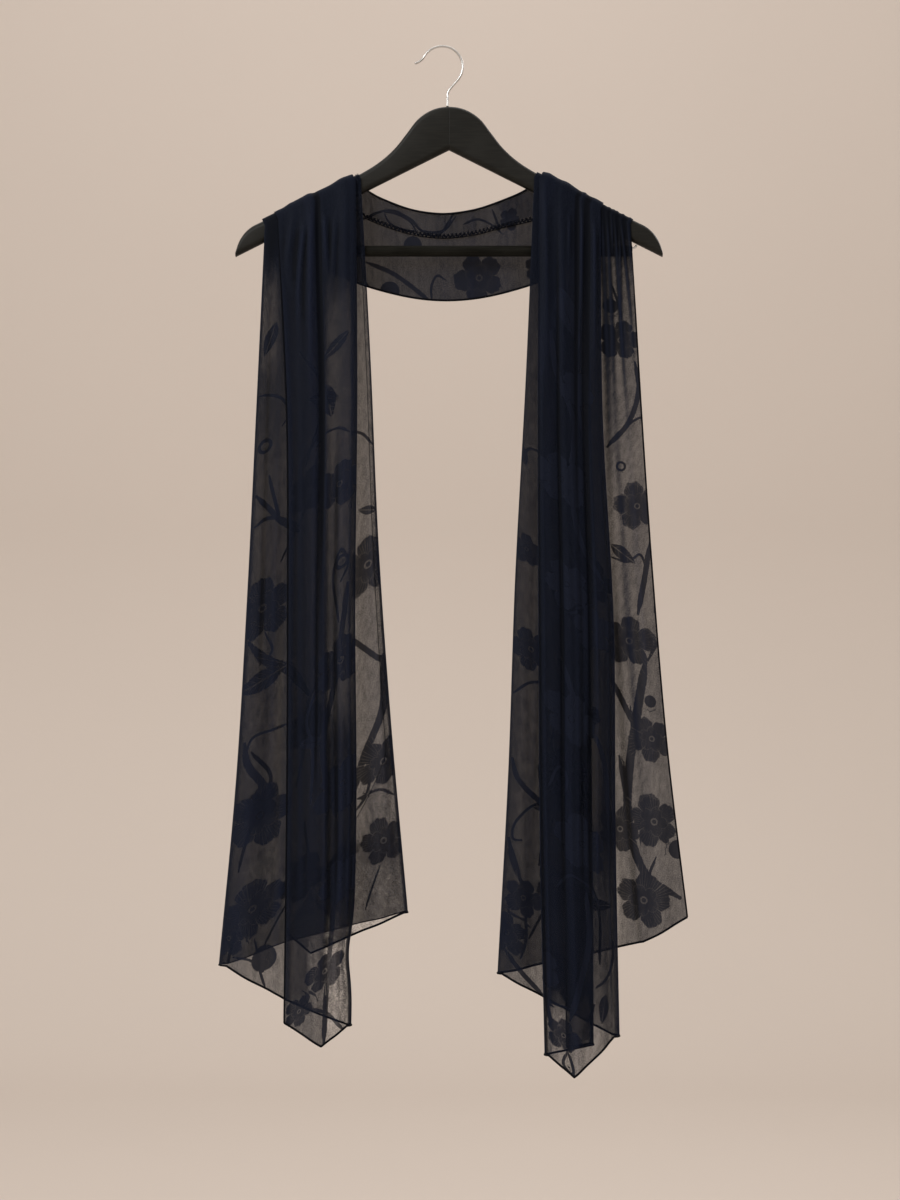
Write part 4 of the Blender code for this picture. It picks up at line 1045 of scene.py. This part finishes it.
turnedAlong = np.linspace(neckShape["turnedFrom"], 1 - neckShape["turnedFrom"], 320)
turnedMore = neckShape["turnedWider"] * smoothStep((turnedAlong - 0.70) / 0.32)
turnedDown = neckShape["turnedWidth"] * (1 + turnedMore)
turnedFlat = neckForm(turnedAlong, np.linspace(0.0, 1.0, 26)[:, None] * turnedDown)
outOf = unit(np.cross(np.gradient(turnedFlat, axis=1), np.gradient(turnedFlat, axis=0)))
outOf = outOf * np.where(outOf[:, :, 1:2] > 0, -1.0, 1.0)
turnedGrid = turnedFlat + outOf * neckShape["turnedAway"]
angle = np.radians(np.linspace(-90, 90, 7))[:-1, None, None]
half = neckShape["turnedAway"] / 2
upDown = np.array([0.0, 0.0, 1.0])
roll = turnedFlat[:1] + outOf[:1] * half + np.sin(angle) * half * outOf[:1] + np.cos(angle) * half * upDown
turnedGrid = np.concatenate([roll, turnedGrid])
turnedUv = np.stack([turnedGrid[:, :, 0], turnedGrid[:, :, 2] + 0.3 * turnedGrid[:, :, 1]], axis=2) * mm
turnedFields = neckAttributes(turnedGrid * np.array([1.0, 1.0, -1.0]) + np.array([37.0, 0.0, -382.0]), 4)
turnedFields["cloth"] = np.ones(turnedGrid.shape) * np.array([1.0, 0.0, 0.0])
turnedPiece = surfaceFrom("turnedEdge", turnedGrid, turnedCloth, uv=turnedUv, attributes=turnedFields)


def stitchLine(edge, pitch, width, lift):
    # overlock loops: a thread that swings across the edge once in every pitch
    length = alongLength(edge)
    at = np.arange(4.0, length[-1] - 4.0, pitch / 8)
    centre = np.stack([np.interp(at, length, edge[:, axis]) for axis in range(3)], axis=1)
    phase = 2 * math.pi * at / pitch
    swing = width * 0.5 * np.sin(phase) + 0.5 * width
    shift = 0.35 * pitch * np.sin(2 * phase)
    run = unit(np.gradient(centre, axis=0))
    path = centre + swing[:, None] * upDown + shift[:, None] * run
    path[:, 1] -= lift + 0.25 * np.cos(phase)
    return path


overlock = tubeAlong("overlockThread", stitchLine(turnedGrid[-1], 4.2, 4.4, 1.3), 0.75, 5, overlockThread)
turnedHem = tubeAlong("turnedEdgeHem", turnedGrid[-1], 0.5, 6, hemThread)
turnedTop = tubeAlong("turnedEdgeTop", turnedGrid[5], 1.1, 8, hemThread)
neckHem = tubeAlong("neckHem", neckGrid[-1], 1.1, 8, hemThread)
for piece, node in ((neckPiece, "scarf_neck_stretch"), (turnedPiece, "scarf_neck_turned_edge")):
    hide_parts(node)
for piece in (neckPiece, turnedPiece, overlock, turnedHem, turnedTop, neckHem):
    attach(piece, "root")


# The hanger

def yokeOutline(count):
    # stations along one arm, with the height of its top and its underside
    reaches, heights = np.array(hangerShape["reach"]), np.array(hangerShape["top"])
    rounded = np.sin(np.linspace(0, math.pi / 2, 24))[1:]
    at = np.concatenate([
        np.linspace(0.0, hangerShape["straightTo"], count),
        hangerShape["straightTo"] + (reaches[-1] - hangerShape["straightTo"]) * rounded,
    ])
    bothReaches = np.concatenate([-reaches[:0:-1], reaches])
    bothHeights = np.concatenate([heights[:0:-1], heights])
    top = curveThrough(bothReaches, bothHeights, at)
    straight = (at >= hangerShape["straightFrom"]) & (at <= hangerShape["straightTo"])
    top = np.where(straight, armHeight + armSlope * (at - hangerShape["straightFrom"]), top)
    under = hangerShape["underAtCentre"] + hangerShape["underSlope"] * at
    return at, top, np.maximum(under, hangerShape["tipUnder"] + 0.9 * (at - reaches[-1]))


def yokeGrid():
    # upright rounded sections: a rectangle whose corners are quarter ellipses
    at, top, under = yokeOutline(110)
    reach = np.concatenate([-at[:0:-1], at])
    top, under = np.concatenate([top[:0:-1], top]), np.concatenate([under[:0:-1], under])
    half, side = hangerShape["thickness"] / 2, hangerShape["edgeRadius"]
    upright = np.minimum(side / math.cos(armTilt), (top - under) * 0.48)[:, None]
    quarter = np.linspace(0, math.pi / 2, 9)
    angle = np.concatenate([quarter, quarter + math.pi / 2, quarter + math.pi, quarter + 1.5 * math.pi])[None]
    sideY = np.repeat([1.0, -1.0, -1.0, 1.0], 9)[None]
    upper = np.repeat([True, True, False, False], 9)[None]
    middleZ = np.where(upper, top[:, None] - upright, under[:, None] + upright)
    y = sideY * (half - side) + side * np.cos(angle)
    z = middleZ + upright * np.sin(angle)
    x = hangerShape["centre"] + reach[:, None] + 0 * y
    return np.stack([x, np.broadcast_to(y, z.shape), z], axis=2)


hookShape = {
    "radius": 1.2,
    "stem": (4.7, -50.0),
    "foot": -62.0,
    "centre": (-1.0, -20.35),
    "bend": 21.55,
    "from": -12.0,
    "to": 150.0,
    "tip": (-29.6, -16.6),
}


def hookPath():  # up the stem, round the bend as an arc, and out to the tip, joined by cubic bends
    centre, radius = np.array(hookShape["centre"]), hookShape["bend"]
    start, end = math.radians(hookShape["from"]), math.radians(hookShape["to"])
    arc = np.linspace(start, end, 90)[:, None]
    loop = centre + radius * np.concatenate([np.cos(arc), np.sin(arc)], axis=1)

    def join(first, firstWay, last, lastWay, steps):
        t = np.linspace(0.0, 1.0, steps)[:, None]
        near, far = np.array(first) + np.array(firstWay) / 3, np.array(last) - np.array(lastWay) / 3
        return (
            (1 - t) ** 3 * first + 3 * (1 - t) ** 2 * t * near
            + 3 * (1 - t) * t * t * far + t ** 3 * np.array(last)
        )

    startWay = (-35 * math.sin(start), 35 * math.cos(start))
    endWay = (-9 * math.sin(end), 9 * math.cos(end))
    stem = join(np.array(hookShape["stem"]), (0.0, 24.0), loop[0], startWay, 40)
    tip = join(loop[-1], endWay, np.array(hookShape["tip"]), (-14.0, -1.0), 20)
    footHeights = np.linspace(hookShape["foot"], hookShape["stem"][1], 12)
    foot = np.stack([np.full(12, hookShape["stem"][0]), footHeights], axis=1)
    flat = np.concatenate([foot[:-1], stem[:-1], loop[:-1], tip])
    return np.stack([flat[:, 0], 0 * flat[:, 0], flat[:, 1]], axis=1)


def lacquerMaterial(name, jointAt=None):
    # black satin lacquer over wood: the grain shows faintly, and the sheen is uneven
    material, tree, shader = newMaterial(name)
    place = addNode(tree, "TexCoord").outputs["Object"]
    grain = noise(tree, place, 520.0, 4.0, stretch=(0.06, 1.0, 1.0), roughness=0.6)
    cloud = noise(tree, place, 26.0, 3.0)
    specks = noise(tree, place, 1500.0, 2.0)
    colour = tint(tree, ramp(tree, grain, 0.35, 0.70), (0.0050, 0.0048, 0.0036), (0.0095, 0.0090, 0.0070))
    colour = tint(tree, ramp(tree, cloud, 0.45, 0.75, 0.0, 0.6), colour, (0.0120, 0.0115, 0.0095))
    rough = ramp(tree, cloud, 0.3, 0.7, 0.36, 0.50)
    height = calc(tree, "ADD", calc(tree, "MULTIPLY", grain, 0.7), calc(tree, "MULTIPLY", specks, 0.25))
    shader.inputs["Specular IOR Level"].default_value = 0.20 if jointAt is not None else 0.04
    if jointAt is not None:
        x = addNode(tree, "SeparateXYZ", {"Vector": place}).outputs[0]
        off = calc(tree, "ABSOLUTE", calc(tree, "SUBTRACT", x, jointAt * mm))
        seam = ramp(tree, off, 0.00012, 0.00055, 1.0, 0.0)
        colour = tint(tree, calc(tree, "MULTIPLY", seam, 0.7), colour, (0.0025, 0.0024, 0.0020))
        height = calc(tree, "SUBTRACT", height, calc(tree, "MULTIPLY", seam, 1.2))
    tree.links.new(colour, shader.inputs["Base Color"])
    tree.links.new(rough, shader.inputs["Roughness"])
    bumpNode = addNode(tree, "Bump", {"Height": height, "Strength": 0.25, "Distance": 0.0003})
    tree.links.new(bumpNode.outputs[0], shader.inputs["Normal"])
    return material


def steelMaterial():  # bright drawn wire with fine scratches round it
    material, tree, shader = newMaterial("hookSteel")
    place = addNode(tree, "TexCoord").outputs["Object"]
    scratches = noise(tree, place, 2400.0, 3.0, stretch=(1.0, 1.0, 0.3))
    stain = noise(tree, place, 90.0, 3.0)
    colour = tint(tree, ramp(tree, stain, 0.4, 0.75), (0.66, 0.65, 0.635), (0.46, 0.455, 0.44))
    tree.links.new(colour, shader.inputs["Base Color"])
    tree.links.new(ramp(tree, scratches, 0.3, 0.7, 0.16, 0.30), shader.inputs["Roughness"])
    shader.inputs["Metallic"].default_value = 1.0
    bumpNode = addNode(tree, "Bump", {"Height": scratches, "Strength": 0.12, "Distance": 0.0002})
    tree.links.new(bumpNode.outputs[0], shader.inputs["Normal"])
    return material


print("hanger")
yokeLacquer = lacquerMaterial("yokeLacquer", hangerShape["centre"])
barLacquer = lacquerMaterial("barLacquer")
hookSteel = steelMaterial()
yokePiece = surfaceFrom("yoke", yokeGrid()[:, ::-1], yokeLacquer, closedAround=True, capped=True)
hookPiece = tubeAlong("hook", hookPath(), hookShape["radius"], 20, hookSteel)
for piece, node, slot in ((yokePiece, "hanger_yoke", "wood"), (hookPiece, "hanger_hook", "steel")):
    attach(piece, "root")
    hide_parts(node)
cadFinishes = {"hanger_bar": barLacquer, "hanger_bar_eye_left": hookSteel, "hanger_bar_eye_right": hookSteel}
for node, finish in cadFinishes.items():
    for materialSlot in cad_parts[node].material_slots:
        materialSlot.material = finish


# The floor, light and camera

studio = {
    "floor": -1.75,
    "backFrom": 3.2,
    "backAt": 4.6,
    "backTop": 3.4,
    "halfWidth": 30.0,
    "frontEdge": -30.0,
    "paper": (0.600, 0.530, 0.475),
    "sky": (0.92, 0.86, 0.80),
    "skyStrength": 0.78,
}


def sweepGrid():  # floor, a quarter-round rise and an upright back
    radius = studio["backAt"] - studio["backFrom"]
    turn = np.linspace(0.0, math.pi / 2, 40)
    front, back, floor = studio["frontEdge"], studio["backFrom"], studio["floor"]
    y = np.concatenate([[front], back + radius * np.sin(turn), [studio["backAt"]]])
    z = np.concatenate([[floor], floor + radius * (1 - np.cos(turn)), [studio["backTop"]]])
    x = np.array([-studio["halfWidth"], studio["halfWidth"]])
    return np.stack(np.broadcast_arrays(x[None], y[:, None], z[:, None]), axis=2) / mm


def paperMaterial():  # matt studio paper, a little uneven in tone
    material, tree, shader = newMaterial("studioPaper")
    place = addNode(tree, "TexCoord").outputs["Object"]
    shade = tuple(0.97 * value for value in studio["paper"])
    colour = tint(tree, noise(tree, place, 1.5, 3.0), studio["paper"], shade)
    tree.links.new(colour, shader.inputs["Base Color"])
    shader.inputs["Roughness"].default_value = 0.9
    shader.inputs["Specular IOR Level"].default_value = 0.1
    return material


print("studio")
backdrop = surfaceFrom("studioSweep", sweepGrid(), paperMaterial())

world = bpy.data.worlds.new("softSky")
world.use_nodes = True
world.node_tree.nodes["Background"].inputs["Color"].default_value = (*studio["sky"], 1.0)
world.node_tree.nodes["Background"].inputs["Strength"].default_value = studio["skyStrength"]
bpy.context.scene.world = world

lights = [
    {"name": "keyLight", "at": (-2.0, -2.3, 1.1), "size": 1.6, "watts": 70.0},
    {"name": "backdropLight", "at": (0.0, 1.6, 2.6), "size": 3.0, "watts": 60.0, "aim": (0.0, 4.4, -0.6)},
    {"name": "rimLight", "at": (1.8, 1.6, 0.9), "size": 1.0, "watts": 14.0},
]
for light in lights:
    lamp = bpy.data.lights.new(light["name"], "AREA")
    lamp.size, lamp.energy = light["size"], light["watts"]
    holder = bpy.data.objects.new(light["name"], lamp)
    holder.location = light["at"]
    aim = np.array(light.get("aim", (0.0, 0.0, -0.55))) - np.array(light["at"])
    flatWay = math.hypot(aim[0], aim[1])
    holder.rotation_euler = (math.atan2(flatWay, -aim[2]), 0.0, math.atan2(aim[1], aim[0]) - math.pi / 2)
    bpy.context.scene.collection.objects.link(holder)

shot = {"across": 940.0, "down": 1253.5, "middle": (7.3, -577.2), "distance": 2500.0, "sensor": 36.0}
camera = bpy.data.cameras.new("camera")
camera.sensor_width = shot["sensor"]
camera.lens = shot["sensor"] * shot["distance"] / shot["down"]
camera.clip_end = 30.0
holder = bpy.data.objects.new("camera", camera)
holder.location = (shot["middle"][0] * mm, -shot["distance"] * mm, shot["middle"][1] * mm)
holder.rotation_euler = (math.pi / 2, 0.0, 0.0)
bpy.context.scene.collection.objects.link(holder)
bpy.context.scene.camera = holder
bpy.context.scene.view_settings.view_transform = "Standard"
bpy.context.scene.cycles.transparent_max_bounces = 24
